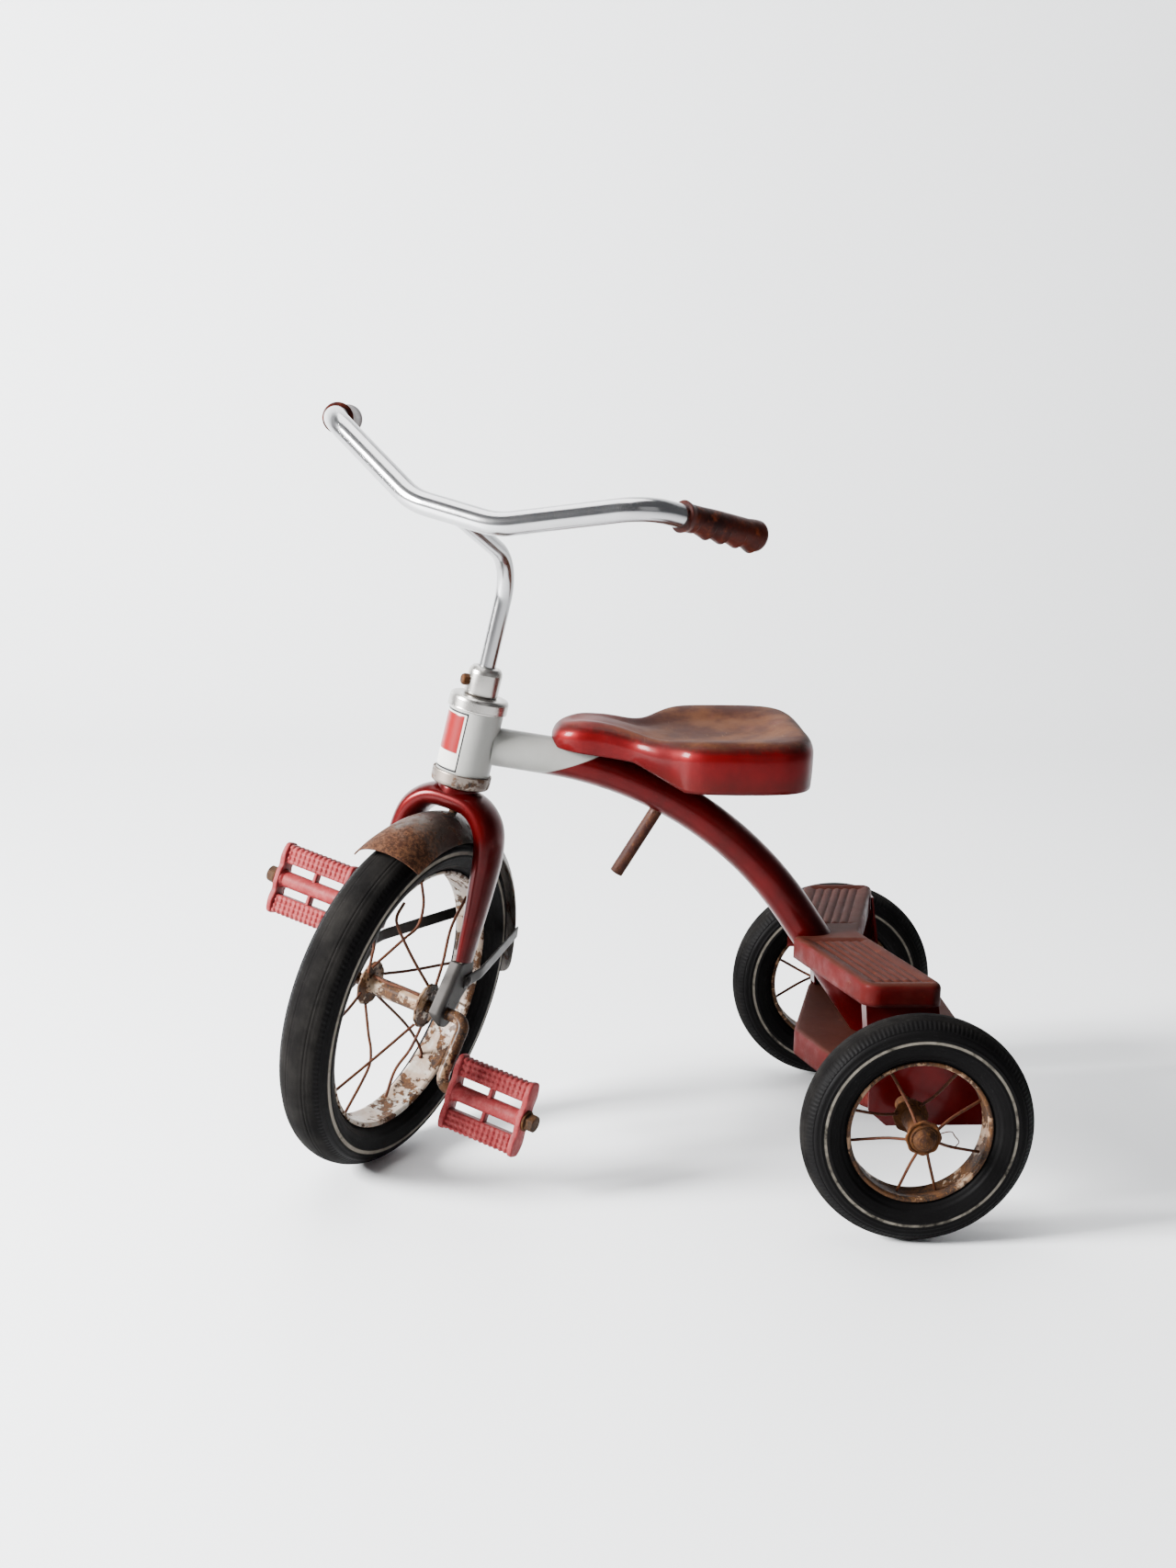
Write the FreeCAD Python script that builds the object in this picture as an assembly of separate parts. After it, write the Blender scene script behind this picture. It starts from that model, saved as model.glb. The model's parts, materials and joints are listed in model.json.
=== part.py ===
import FreeCAD, Part
import math
import os
from FreeCAD import Placement, Rotation, Vector

# Children's tricycle, millimetres, +Z up, +X the rider's left, -Y the way it travels.
# The rear axle lies along X. The steered front end is drawn straight ahead in a
# "head frame" whose Z runs up the steering axis, and is turned by STEER at the end.

# ---- driving dimensions -------------------------------------------------------
FRONT_WHEEL_R = 160.0        # front wheel radius over the tread
REAR_WHEEL_R = 100.0         # rear wheel radius over the tread
WHEELBASE = 445.0            # rear axle to front wheel centre, steered straight
REAR_TRACK = 410.0           # between the middles of the rear tyres
HEAD_TILT = 12.4             # steering axis, degrees back from upright
RAKE = 22.0                  # front axle ahead of the steering axis
STEER = 58.3                 # the front end as parked, degrees to the rider's left
CRANK_ANGLE = 55.4           # crank as parked, degrees below forward
PEDAL_ANGLE = 68.0           # pedals as parked, degrees of their width above +Y

RUN = 0.06                   # radial running clearance of turning or sliding fits
GAP = 0.3                    # clearance between faces on different bodies

# head
HEAD_R = 24.2                # head tube outside
HEAD_WALL = 2.0
HEAD_LOW = 199.0             # head tube ends, measured up the steering axis
HEAD_HIGH = 276.0
CUP_R = 26.6
CUP_WALL = 2.2
CUP_DEPTH = 10.0             # how far a cup reaches over the head tube
CUP_CAP = 3.0                # thickness of a cup's end
STEERER_R = 9.5
STEERER_WALL = 1.85
BUSH_WALL = 4.0

# backbone
TUBE_R = 17.2
TUBE_WALL = 1.8
TUBE_START_Z = 385.0         # where its centre line meets the steering axis
TUBE_FALL = 9.0              # first run, degrees below level
TUBE_DROP = 55.5             # last run, degrees below level
TUBE_BEND_R = 340.0
TUBE_FOOT_Y = 1.0            # where its centre line meets the lower step

# decks and legs
SWEEP = 0.27                 # sweep back of every deck edge, per mm of width
SHEET = 2.0
DECK_HALF = 162.0
DECK_TOP = 211.0
DECK_DEPTH = 68.0            # front to back
DECK_SKIRT = 20.0
DECK_APEX_Y = -82.0          # where the two front edges would meet
DECK_CORNER_R = 12.0
BORDER = 8.0                 # raised border round the ribbed fields
FIELD_DROP = 2.5
RIB_COUNT = 6
RIB_WIDTH = 4.0
RIB_HIGH = 1.6
LEG_X = 150.0                # outer face of a leg
LEG_LOW = 80.0
LEG_FLANGE = 22.0
STEP_TOP = 118.0             # lower step
STEP_SKIRT = 24.0
STEP_APEX_Y = -71.0
STEP_REAR_Y = 88.0
STEP_CORNER_R = 14.0

# seat
SEAT_HALF = 100.0
SEAT_NOSE_Y = -300.0
SEAT_REAR_Y = -72.0
SEAT_HEM = ((-0.02, 384.0), (0.30, 377.0), (0.48, 360.0), (0.48, 354.0))  # share of length, height
SEAT_PLAN = (                # share of the half width, share of the length from the nose
    (0.17, 0.018), (0.30, 0.085), (0.37, 0.20), (0.46, 0.30), (0.62, 0.375), (0.81, 0.44),
    (0.94, 0.505), (0.995, 0.60), (0.995, 0.80), (0.93, 0.905), (0.77, 0.965), (0.45, 0.995),
)
SEAT_RIM_Z = 404.0
SEAT_LOW_Z = 360.0
SEAT_SHEET = 2.0
BOWL_DEPTH = 11.0
BOWL_AT = 0.60               # middle of the bowl, share of the length from the nose
BOWL_REACH = 0.52            # radius of the bowl's edge, share of the length
POST_R = 6.0
POST_LEAN = 31.0             # degrees the post's top leans back
POST_FOOT = (-240.0, 265.5)  # y, z of the middle of the post's lower end
BRACKET_WIDE = 44.0
BRACKET_LONG = 56.0
BRACKET_AHEAD = 34.0         # from the post's top to the bracket's front edge
BRACKET_DEEP = 9.0
SEAT_RIVET_R = 4.0
SEAT_RIVET_HIGH = 2.5
SEAT_RIVET_X = 14.0
SEAT_RIVET_Y = (-26.0, 12.0)  # from the post's top

# fork
BLADE_SECTIONS = (           # side, back, up, half width, half depth of each section
    (47.5, -5.0, 46.0, 6.0, 11.5),
    (46.2, -1.5, 88.0, 8.0, 14.5),
    (45.2, 0.0, 115.0, 9.5, 17.0),
    (44.0, 0.0, 144.0, 10.6, 19.0),
    (37.5, 0.0, 167.0, 11.2, 20.0),
    (22.0, 0.0, 181.0, 11.0, 20.0),
    (0.0, 0.0, 184.0, 11.0, 20.0),
)
BLADE_TOP = 3                # the section where blade and crown meet
CROWN_BOSS_R = 17.0
FORK_END_THICK = 3.0
FORK_END_X = 52.0            # outer face
FORK_END_R = 13.0
FORK_END_FLANGE = 12.0
RIVET_BACK = 0.0
RIVET_UP = 28.0
RIVET_R = 2.5
RIVET_HEAD_R = 5.0
RIVET_HEAD = 2.5

# fender
FENDER_CROWN_R = 172.0
FENDER_EDGE_R = 152.0
FENDER_HALF = 30.5
FENDER_SHEET = 1.2
FENDER_FRONT = 32.0          # degrees ahead of the steering axis line
FENDER_REAR = 91.0           # degrees behind it
STAY_AT = 71.0
STAY_WIDE = 12.0
STAY_THICK = 2.0
STAY_PAST = 1.5              # how far the stay runs past the fender's edge
FENDER_BOLT_R = 3.9
FENDER_HEAD_R = 6.5
FENDER_HEAD = 3.5

# handlebar
COLLAR_R = 15.2
COLLAR_HIGH = 26.0
COLLAR_TOP_WALL = 5.0
COLLAR_BOLT_AT = -40.0       # degrees from the fork's front to the rider's left
COLLAR_BOLT_R = 3.0
COLLAR_HEAD_R = 5.2
COLLAR_HEAD = 6.0
STEM_R = 7.6
STEM_WALL = 1.5
STEM_IN = 70.0               # stem length inside the collar and steerer
STEM_BENDS = ((0.0, 400.0, 50.0),)  # back, up, bend radius
BAR_R = 10.2
BAR_WALL = 1.5
BAR_MID = (-118.5, 441.0)     # back, up of the bar's middle
BAR_DIP = (41.0, -118.5, 441.0)  # side, back, up of the bend beside the middle
BAR_BEND = (154.0, -88.0, 486.0)
BAR_DIP_R = 60.0
BAR_BEND_R = 46.0
GRIP_END = (208.0, 22.0, 478.0)
GRIP_LONG = 92.0
GRIP_WALL = 3.6
GRIP_CAP = 6.0               # rubber beyond the bar's end
GRIP_ROUND = 3.4

# crank and pedals
CRANK_R = 5.6
CRANK_THROW = 60.0
CRANK_ARM_X = 72.0
CRANK_BEND_R = 10.0
PEDAL_X = 123.0
PEDAL_LONG = 76.0
PEDAL_WIDE = 68.0
PEDAL_PAD = 20.0
PEDAL_THICK = 22.0
PEDAL_END = 5.0
PEDAL_END_ROUND = 7.0
PEDAL_RIM = 3.0              # how far the end plates stand over the pads
PEDAL_WEB = (5.0, 9.0)       # thickness and height of the web between the windows
PEDAL_BARREL_R = 9.5
NUT_R = 8.0
NUT_LONG = 8.0
WASHER_THICK = 2.0

# wheels: tyre half width, rim lip radius, rim half width, hub flange radius and place
FRONT_TYRE_HALF = 24.8
FRONT_RIM_R = 121.5
FRONT_RIM_HALF = 14.5
FRONT_FLANGE_R = 21.0
FRONT_FLANGE_X = 29.0
FRONT_BARREL_R = 8.5
FRONT_SPOKES = 6             # per flange
REAR_TYRE_HALF = 20.2
REAR_RIM_R = 62.4
REAR_RIM_HALF = 13.9
REAR_FLANGE_R = 15.5
REAR_FLANGE_X = 24.0
REAR_BARREL_R = 9.0
REAR_SPOKES = 4
RIM_FLOOR = 2.0              # thickness of the rim's floor
RIM_LIP = 2.2                # how far the lips stand over the floor
FLANGE_THICK = 2.5
SPOKE_R = 1.3
FRONT_SPOKE_R = 1.4
REAR_AXLE_R = 5.5
CAP_R = 9.5
CAP_LONG = 7.0

# ---- frames -------------------------------------------------------------------
TILT = math.radians(HEAD_TILT)
LEAN = math.asin(math.sin(math.radians(STEER)) * math.sin(TILT))
TREAD_R = FRONT_TYRE_HALF
HUB_HEIGHT = (FRONT_WHEEL_R - TREAD_R) * math.cos(LEAN) + TREAD_R
HEAD_Y = -WHEELBASE + RAKE * math.cos(TILT)
HEAD_Z = HUB_HEIGHT - RAKE * math.cos(math.radians(STEER)) * math.sin(TILT)
HEAD_FRAME = Placement(Vector(0, HEAD_Y, HEAD_Z), Rotation(Vector(1, 0, 0), -HEAD_TILT))
TURN = Placement(Vector(0, 0, 0), Rotation(Vector(0, 0, 1), STEER))
STEERED = HEAD_FRAME.multiply(TURN)
WHEEL = Vector(0, -RAKE, 0)
X_AXIS = Vector(1, 0, 0)
Y_AXIS = Vector(0, 1, 0)
Z_AXIS = Vector(0, 0, 1)

parts = {}


def add(name, shape, place=None):
    """Keep a shape as a node, put into the frame of the whole object."""
    shape = shape.copy()
    if place is not None:
        shape.Placement = place.multiply(shape.Placement)
    parts[name] = shape


def rod(start, end, radius):
    """A round bar between two points."""
    along = end.sub(start)
    return Part.makeCylinder(radius, along.Length, start, along)


def tube(start, end, radius, bore):
    """A round bar with a round hole right through it."""
    return rod(start, end, radius).cut(rod(start, end, bore))


def bent_wire(points, radii):
    """Straight runs between the points, joined by tangent arcs of the given radii."""
    edges = []
    here = points[0]
    for before, corner, after, radius in zip(points, points[1:], points[2:], radii):
        back = before.sub(corner).normalize()
        ahead = after.sub(corner).normalize()
        half = math.acos(max(-1.0, min(1.0, back.dot(ahead)))) / 2
        reach = radius / math.tan(half)
        first = corner.add(back * reach)
        last = corner.add(ahead * reach)
        inward = back.add(ahead).normalize()
        middle = corner.add(inward * (radius / math.sin(half) - radius))
        edges.append(Part.LineSegment(here, first).toShape())
        edges.append(Part.Arc(first, middle, last).toShape())
        here = last
    edges.append(Part.LineSegment(here, points[-1]).toShape())
    return Part.Wire(edges)


def bent_bar(points, radii, radius):
    """A round bar carried along straight runs and tangent arcs."""
    path = bent_wire(points, radii)
    ring = Part.Wire(Part.makeCircle(radius, points[0], points[1].sub(points[0])))
    return path.makePipeShell([ring], True, False)


def bent_tube(points, radii, radius, wall):
    """A bent bar with its bore, open at both ends."""
    return bent_bar(points, radii, radius).cut(bent_bar(points, radii, radius - wall))


def flat_face(points):
    """A flat face with straight sides through the points."""
    return Part.Face(Part.makePolygon(list(points) + [points[0]]))


def turned(profile, axis_point, axis):
    """A flat face turned once about an axis."""
    return profile.revolve(axis_point, axis, 360)


def ellipse_wire(centre, normal, wide_axis, half_wide, half_deep):
    """An ellipse across a path, its wide axis square to the path."""
    normal = normal.normalize()
    wide = wide_axis.sub(normal * wide_axis.dot(normal)).normalize()
    if half_wide >= half_deep:
        major, minor, first = half_wide, half_deep, wide
    else:
        major, minor, first = half_deep, half_wide, normal.cross(wide)
    curve = Part.Ellipse(Vector(0, 0, 0), major, minor)
    ring = Part.Wire(curve.toShape())
    turn = Rotation(first, normal.cross(first), normal, "XYZ")
    ring.Placement = Placement(centre, turn)
    return ring


# ---- wheels -------------------------------------------------------------------
def wheel_parts(radius, tyre_half, rim_r, rim_half, flange_r, flange_x, barrel_r, bore_r):
    """Tyre, rim and hub about the X axis, centred on the origin."""
    floor_r = rim_r - RIM_LIP
    seat = rim_half - RIM_FLOOR
    height = radius - rim_r
    shoulder = radius - 0.13 * height

    def at(x, r):
        return Vector(x, 0, r)

    low_left = at(-seat, floor_r)
    low_right = at(seat, floor_r)
    lip_left = at(-seat, rim_r)
    lip_right = at(seat, rim_r)
    side_left = at(-0.66 * tyre_half, shoulder)
    side_right = at(0.66 * tyre_half, shoulder)
    belly = rim_r + 0.45 * height
    tyre_edges = [
        Part.LineSegment(low_left, lip_left).toShape(),
        Part.Arc(lip_left, at(-tyre_half, belly), side_left).toShape(),
        Part.Arc(side_left, at(0, radius), side_right).toShape(),
        Part.Arc(side_right, at(tyre_half, belly), lip_right).toShape(),
        Part.LineSegment(lip_right, low_right).toShape(),
        Part.LineSegment(low_right, low_left).toShape(),
    ]
    tyre = turned(Part.Face(Part.Wire(tyre_edges)), Vector(0, 0, 0), X_AXIS)
    inner_r = floor_r - RIM_FLOOR
    rim_outline = [
        at(-rim_half, inner_r),
        at(-rim_half, rim_r - 0.3),
        at(-seat, rim_r - 0.3),
        at(-seat, floor_r),
        at(seat, floor_r),
        at(seat, rim_r - 0.3),
        at(rim_half, rim_r - 0.3),
        at(rim_half, inner_r),
    ]
    rim = turned(flat_face(rim_outline), Vector(0, 0, 0), X_AXIS)
    hub_outline = [
        at(-flange_x - FLANGE_THICK, bore_r),
        at(-flange_x - FLANGE_THICK, flange_r),
        at(-flange_x, flange_r),
        at(-flange_x, barrel_r),
        at(flange_x, barrel_r),
        at(flange_x, flange_r),
        at(flange_x + FLANGE_THICK, flange_r),
        at(flange_x + FLANGE_THICK, bore_r),
    ]
    hub = turned(flat_face(hub_outline), Vector(0, 0, 0), X_AXIS)
    return tyre, rim, hub


def spoke_set(count, flange_r, flange_x, rim_r, spoke_r, start):
    """Spokes from both flanges to the rim's floor, those of one side between the other's."""
    floor = rim_r - RIM_LIP - RIM_FLOOR
    slope = (flange_x - 3 * spoke_r) / (floor - flange_r)
    reach = floor - spoke_r * slope - RUN
    step = 2 * math.pi / count
    spokes = []
    for side in (-1, 1):
        for number in range(count):
            angle = start + step * (number + 0.25 * (1 + side))
            ray = Vector(0, math.cos(angle), math.sin(angle))
            foot = Vector(side * (flange_x - spoke_r), 0, 0).add(ray * (flange_r - 2 * spoke_r))
            head = Vector(side * spoke_r * 2, 0, 0).add(ray * reach)
            spokes.append(rod(foot, head, spoke_r))
    return Part.makeCompound(spokes)


front = wheel_parts(FRONT_WHEEL_R, FRONT_TYRE_HALF, FRONT_RIM_R, FRONT_RIM_HALF,
                    FRONT_FLANGE_R, FRONT_FLANGE_X, FRONT_BARREL_R, CRANK_R + RUN)
front_place = STEERED.multiply(Placement(WHEEL, Rotation()))
for name, shape in zip(("front_tyre", "front_rim", "front_hub"), front):
    add(name, shape, front_place)
add("front_spokes", spoke_set(FRONT_SPOKES, FRONT_FLANGE_R, FRONT_FLANGE_X, FRONT_RIM_R,
                              FRONT_SPOKE_R, math.radians(20)), front_place)

rear = wheel_parts(REAR_WHEEL_R, REAR_TYRE_HALF, REAR_RIM_R, REAR_RIM_HALF,
                   REAR_FLANGE_R, REAR_FLANGE_X, REAR_BARREL_R, REAR_AXLE_R + RUN)
rear_spokes = spoke_set(REAR_SPOKES, REAR_FLANGE_R, REAR_FLANGE_X, REAR_RIM_R,
                        SPOKE_R, math.radians(25))
for side, sign in (("left", 1), ("right", -1)):
    place = Placement(Vector(sign * REAR_TRACK / 2, 0, REAR_WHEEL_R), Rotation())
    for name, shape in zip(("tyre", "rim", "hub"), rear):
        add("rear_%s_%s" % (name, side), shape, place)
    add("rear_spokes_" + side, rear_spokes, place)

# ---- rear axle ----------------------------------------------------------------
hub_end = REAR_FLANGE_X + FLANGE_THICK
axle_height = Vector(0, 0, REAR_WHEEL_R)
washer_in = REAR_TRACK / 2 - hub_end - GAP
washer_out = REAR_TRACK / 2 + hub_end + GAP
axle_end = washer_out + WASHER_THICK + 0.5 * CAP_LONG


def on_axle(x):
    return axle_height.add(Vector(x, 0, 0))


add("rear_axle", rod(on_axle(-axle_end), on_axle(axle_end), REAR_AXLE_R))
washers = []
spacers = []
caps = []
for sign in (-1, 1):
    for inner in (washer_in - WASHER_THICK, washer_out):
        washers.append(tube(on_axle(sign * inner), on_axle(sign * (inner + WASHER_THICK)),
                            CAP_R + 1.5, REAR_AXLE_R + RUN))
    spacers.append(tube(on_axle(sign * LEG_X), on_axle(sign * (washer_in - WASHER_THICK)),
                        REAR_AXLE_R + 2.0, REAR_AXLE_R + RUN))
    base = washer_out + WASHER_THICK
    cap = rod(on_axle(sign * base), on_axle(sign * (base + CAP_LONG)), CAP_R)
    rim_edges = [e for e in cap.Edges if abs(abs(e.BoundBox.XMin) - base - CAP_LONG) < 0.1
                 and e.BoundBox.XLength < 0.1]
    cap = cap.makeFillet(2.5, rim_edges)
    caps.append(cap.cut(rod(on_axle(sign * base), on_axle(sign * axle_end), REAR_AXLE_R)))
add("axle_washers", Part.makeCompound(washers))
add("axle_spacers", Part.makeCompound(spacers))
add("axle_caps", Part.makeCompound(caps))

# ---- backbone -----------------------------------------------------------------
head_start = HEAD_FRAME.multVec(Vector(0, 0, 0))
head_up = HEAD_FRAME.Rotation.multVec(Z_AXIS)
start_up = (TUBE_START_Z - head_start.z) / head_up.z
tube_start = head_start.add(head_up * start_up)
tube_foot = Vector(0, TUBE_FOOT_Y, STEP_TOP)
fall = Vector(0, math.cos(math.radians(TUBE_FALL)), -math.sin(math.radians(TUBE_FALL)))
drop = Vector(0, math.cos(math.radians(TUBE_DROP)), -math.sin(math.radians(TUBE_DROP)))
span = tube_foot.sub(tube_start)
cross = fall.y * drop.z - fall.z * drop.y
run_length = (span.y * drop.z - span.z * drop.y) / cross
tube_corner = tube_start.add(fall * run_length)
tube_below = tube_foot.add(drop * 40)
tube_points = [tube_start, tube_corner, tube_below]
backbone = bent_tube(tube_points, [TUBE_BEND_R], TUBE_R, TUBE_WALL)


def head_point(up):
    return HEAD_FRAME.multVec(Vector(0, 0, up))


below_step = Part.makeBox(400, 400, 200, Vector(-200, -200, STEP_TOP - 200))
backbone = backbone.cut(below_step)
backbone = backbone.cut(rod(head_point(HEAD_LOW - 60), head_point(HEAD_HIGH + 60), HEAD_R))
backbone = max(backbone.Solids, key=lambda solid: solid.Volume)

# ---- head ---------------------------------------------------------------------
head_tube = tube(Vector(0, 0, HEAD_LOW), Vector(0, 0, HEAD_HIGH), HEAD_R, HEAD_R - HEAD_WALL)
add("head_tube", head_tube, HEAD_FRAME)


def head_cup(end, inward):
    """A pressed cup that caps one end of the head tube; inward is +1 or -1 along Z."""
    def at(r, deep):
        return Vector(r, 0, end + inward * deep)

    bore = STEERER_R + BUSH_WALL
    outline = [
        at(bore, -CUP_CAP),
        at(CUP_R - 1.2, -CUP_CAP),
        at(CUP_R, -CUP_CAP + 1.2),
        at(CUP_R, CUP_DEPTH),
        at(HEAD_R, CUP_DEPTH),
        at(HEAD_R, 0),
        at(bore, 0),
    ]
    return turned(flat_face(outline), Vector(0, 0, 0), Z_AXIS)


def head_bush(end, inward):
    """A flanged plain bush between the cup and the steerer."""
    def at(r, deep):
        return Vector(r, 0, end + inward * deep)

    bore = STEERER_R + RUN
    outer = STEERER_R + BUSH_WALL
    outline = [
        at(bore, -CUP_CAP),
        at(outer, -CUP_CAP),
        at(outer, 0),
        at(outer + 2.0, 0),
        at(outer + 2.0, 2.0),
        at(outer, 2.0),
        at(outer, 8.0),
        at(bore, 8.0),
    ]
    return turned(flat_face(outline), Vector(0, 0, 0), Z_AXIS)


for name, end, inward in (("lower", HEAD_LOW, 1), ("upper", HEAD_HIGH, -1)):
    add("head_cup_" + name, head_cup(end, inward), HEAD_FRAME)
    add("head_bush_" + name, head_bush(end, inward), HEAD_FRAME)

# ---- decks --------------------------------------------------------------------
def chevron(apex_y, half, rear_y, corner_r, shrink=0.0, rear_sweep=SWEEP):
    """Plan outline of a swept deck as a face at z = 0, its outer corners rounded.

    Each edge moves in by shrink. The front edges meet at apex_y; the rear ones at rear_y.
    """
    edge = math.hypot(1, SWEEP)
    x = half - shrink
    front_y = apex_y + shrink * edge
    back_y = rear_y - shrink * math.hypot(1, rear_sweep)
    points = [
        Vector(0, front_y, 0),
        Vector(x, front_y + SWEEP * x, 0),
        Vector(x, back_y + rear_sweep * x, 0),
        Vector(0, back_y, 0),
        Vector(-x, back_y + rear_sweep * x, 0),
        Vector(-x, front_y + SWEEP * x, 0),
    ]
    block = flat_face(points).extrude(Vector(0, 0, 1))
    radius = max(corner_r - shrink, 1.0)
    uprights = []
    for e in block.Edges:
        box = e.BoundBox
        if box.ZLength > 0.9 and abs(abs(box.XMin) - x) < 0.01:
            uprights.append(e)
    block = block.makeFillet(radius, uprights)
    base = min(block.Faces, key=lambda face: face.CenterOfMass.z)
    return base


def slab(face, low, high):
    """A flat outline given thickness between two heights."""
    lifted = face.copy()
    lifted.translate(Vector(0, 0, low - face.BoundBox.ZMin))
    return lifted.extrude(Vector(0, 0, high - low))


def soften_top(block, top, radius):
    """Round the edges that lie in the top face."""
    rim = []
    for e in block.Edges:
        if e.BoundBox.ZMin > top - 0.01 and e.BoundBox.ZLength < 0.01:
            rim.append(e)
    return block.makeFillet(radius, rim)


def pressed_tray(apex_y, half, rear_y, corner_r, top, skirt, edge_r, rear_sweep=SWEEP):
    """A pressed sheet tray, open below: a swept outline with a turned-down skirt."""
    outer = slab(chevron(apex_y, half, rear_y, corner_r, 0.0, rear_sweep), top - skirt, top)
    outer = soften_top(outer, top, edge_r)
    inner_face = chevron(apex_y, half, rear_y, corner_r, SHEET, rear_sweep)
    inner = slab(inner_face, top - skirt - 1, top - SHEET)
    inner = soften_top(inner, top - SHEET, edge_r - SHEET)
    return outer.cut(inner)


deck_rear_y = DECK_APEX_Y + DECK_DEPTH
deck = pressed_tray(DECK_APEX_Y, DECK_HALF, deck_rear_y, DECK_CORNER_R, DECK_TOP, DECK_SKIRT, 5.0)


def deck_field(sign, low, high, inset):
    """The sunk ribbed field of one arm, kept a border's width inside its edges."""
    edge = math.hypot(1, SWEEP)
    front_y = DECK_APEX_Y + (BORDER + inset) * edge
    rear_y = deck_rear_y - (BORDER + inset) * edge
    near = TUBE_R + BORDER + inset
    far = DECK_HALF - BORDER - inset
    points = [
        Vector(sign * near, front_y + SWEEP * near, 0),
        Vector(sign * far, front_y + SWEEP * far, 0),
        Vector(sign * far, rear_y + SWEEP * far, 0),
        Vector(sign * near, rear_y + SWEEP * near, 0),
    ]
    return slab(flat_face(points), low, high), front_y, rear_y, near, far


for sign in (-1, 1):
    dent = deck_field(sign, DECK_TOP - FIELD_DROP, DECK_TOP + 1, 0.0)[0]
    pan_under, front_y, rear_y, near, far = deck_field(
        sign, DECK_TOP - FIELD_DROP - SHEET, DECK_TOP - SHEET + 0.01, -SHEET)
    deck = deck.fuse(pan_under).cut(dent)
    pitch = (rear_y - front_y - 2 * SHEET) / RIB_COUNT
    for number in range(RIB_COUNT):
        middle = front_y + SHEET + pitch * (number + 0.5)
        x_in = near + SHEET + 3.0
        x_out = far - SHEET - 3.0
        rib_points = [
            Vector(sign * x_in, middle + SWEEP * x_in - RIB_WIDTH / 2, 0),
            Vector(sign * x_out, middle + SWEEP * x_out - RIB_WIDTH / 2, 0),
            Vector(sign * x_out, middle + SWEEP * x_out + RIB_WIDTH / 2, 0),
            Vector(sign * x_in, middle + SWEEP * x_in + RIB_WIDTH / 2, 0),
        ]
        deck = deck.fuse(slab(flat_face(rib_points), DECK_TOP - FIELD_DROP,
                              DECK_TOP - FIELD_DROP + RIB_HIGH))

tube_hole = bent_bar(tube_points, [TUBE_BEND_R], TUBE_R)
deck = deck.cut(tube_hole)
notch = Part.makeBox(2 * TUBE_R, 60, 3 * DECK_SKIRT,
                     Vector(-TUBE_R, DECK_APEX_Y - 40, DECK_TOP - 2 * DECK_SKIRT))
deck = deck.cut(notch)
deck = max(deck.Solids, key=lambda solid: solid.Volume).removeSplitter()
add("step_deck", deck)

step_half = LEG_X - SHEET
lower_step = pressed_tray(STEP_APEX_Y, step_half, STEP_REAR_Y, STEP_CORNER_R,
                          STEP_TOP, STEP_SKIRT, 5.0, 0.0)
axle_pass = rod(on_axle(-step_half - 10), on_axle(step_half + 10), REAR_AXLE_R)
lower_step = lower_step.cut(axle_pass)
add("lower_step", lower_step)


def leg(sign):
    """A pressed side leg: an outer plate with flanges turned inwards front and back."""
    deck_low = DECK_TOP - SHEET - FIELD_DROP
    plate_x = sign * (LEG_X - SHEET)
    deck_front = DECK_APEX_Y + SWEEP * LEG_X + SHEET + 1.0
    deck_back = deck_rear_y + SWEEP * LEG_X - SHEET - 1.0
    step_front = STEP_APEX_Y + SWEEP * LEG_X
    outline = [
        (deck_front, deck_low),
        (deck_back, deck_low),
        (deck_back + 8, STEP_TOP + 34),
        (STEP_REAR_Y - 14, STEP_TOP + 4),
        (STEP_REAR_Y, STEP_TOP - 8),
        (STEP_REAR_Y - 2, LEG_LOW + 6),
        (STEP_REAR_Y - 10, LEG_LOW),
        (step_front + 16, LEG_LOW),
        (step_front, STEP_TOP - STEP_SKIRT),
        (step_front, STEP_TOP),
    ]
    plate = flat_face([Vector(plate_x, y, z) for y, z in outline])
    plate = plate.extrude(Vector(sign * SHEET, 0, 0))
    flange_in = sign * (LEG_X - LEG_FLANGE)
    for first, last in ((0, 9), (1, 2), (2, 3)):
        (y0, z0), (y1, z1) = outline[first], outline[last]
        inward = 1 if first == 0 else -1
        strip = flat_face([
            Vector(flange_in, y0, z0),
            Vector(flange_in, y1, z1),
            Vector(flange_in, y1 + inward * SHEET, z1),
            Vector(flange_in, y0 + inward * SHEET, z0),
        ])
        strip = strip.extrude(Vector(sign * LEG_FLANGE, 0, 0))
        plate = plate.fuse(strip)
    above = Part.makeBox(2 * LEG_X, 400, 2 * SHEET,
                         Vector(-LEG_X, -200, deck_low))
    tray = Part.makeBox(2 * (LEG_X - SHEET), 400, STEP_TOP,
                        Vector(-(LEG_X - SHEET), -200, 0))
    plate = plate.cut(above).cut(tray).cut(deck)
    plate = plate.cut(axle_pass)
    return max(plate.Solids, key=lambda solid: solid.Volume).removeSplitter()


add("leg_left", leg(1))
add("leg_right", leg(-1))

# ---- seat ---------------------------------------------------------------------
post_up = Vector(0, math.sin(math.radians(POST_LEAN)), math.cos(math.radians(POST_LEAN)))
post_foot = Vector(0, POST_FOOT[0], POST_FOOT[1])


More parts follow.
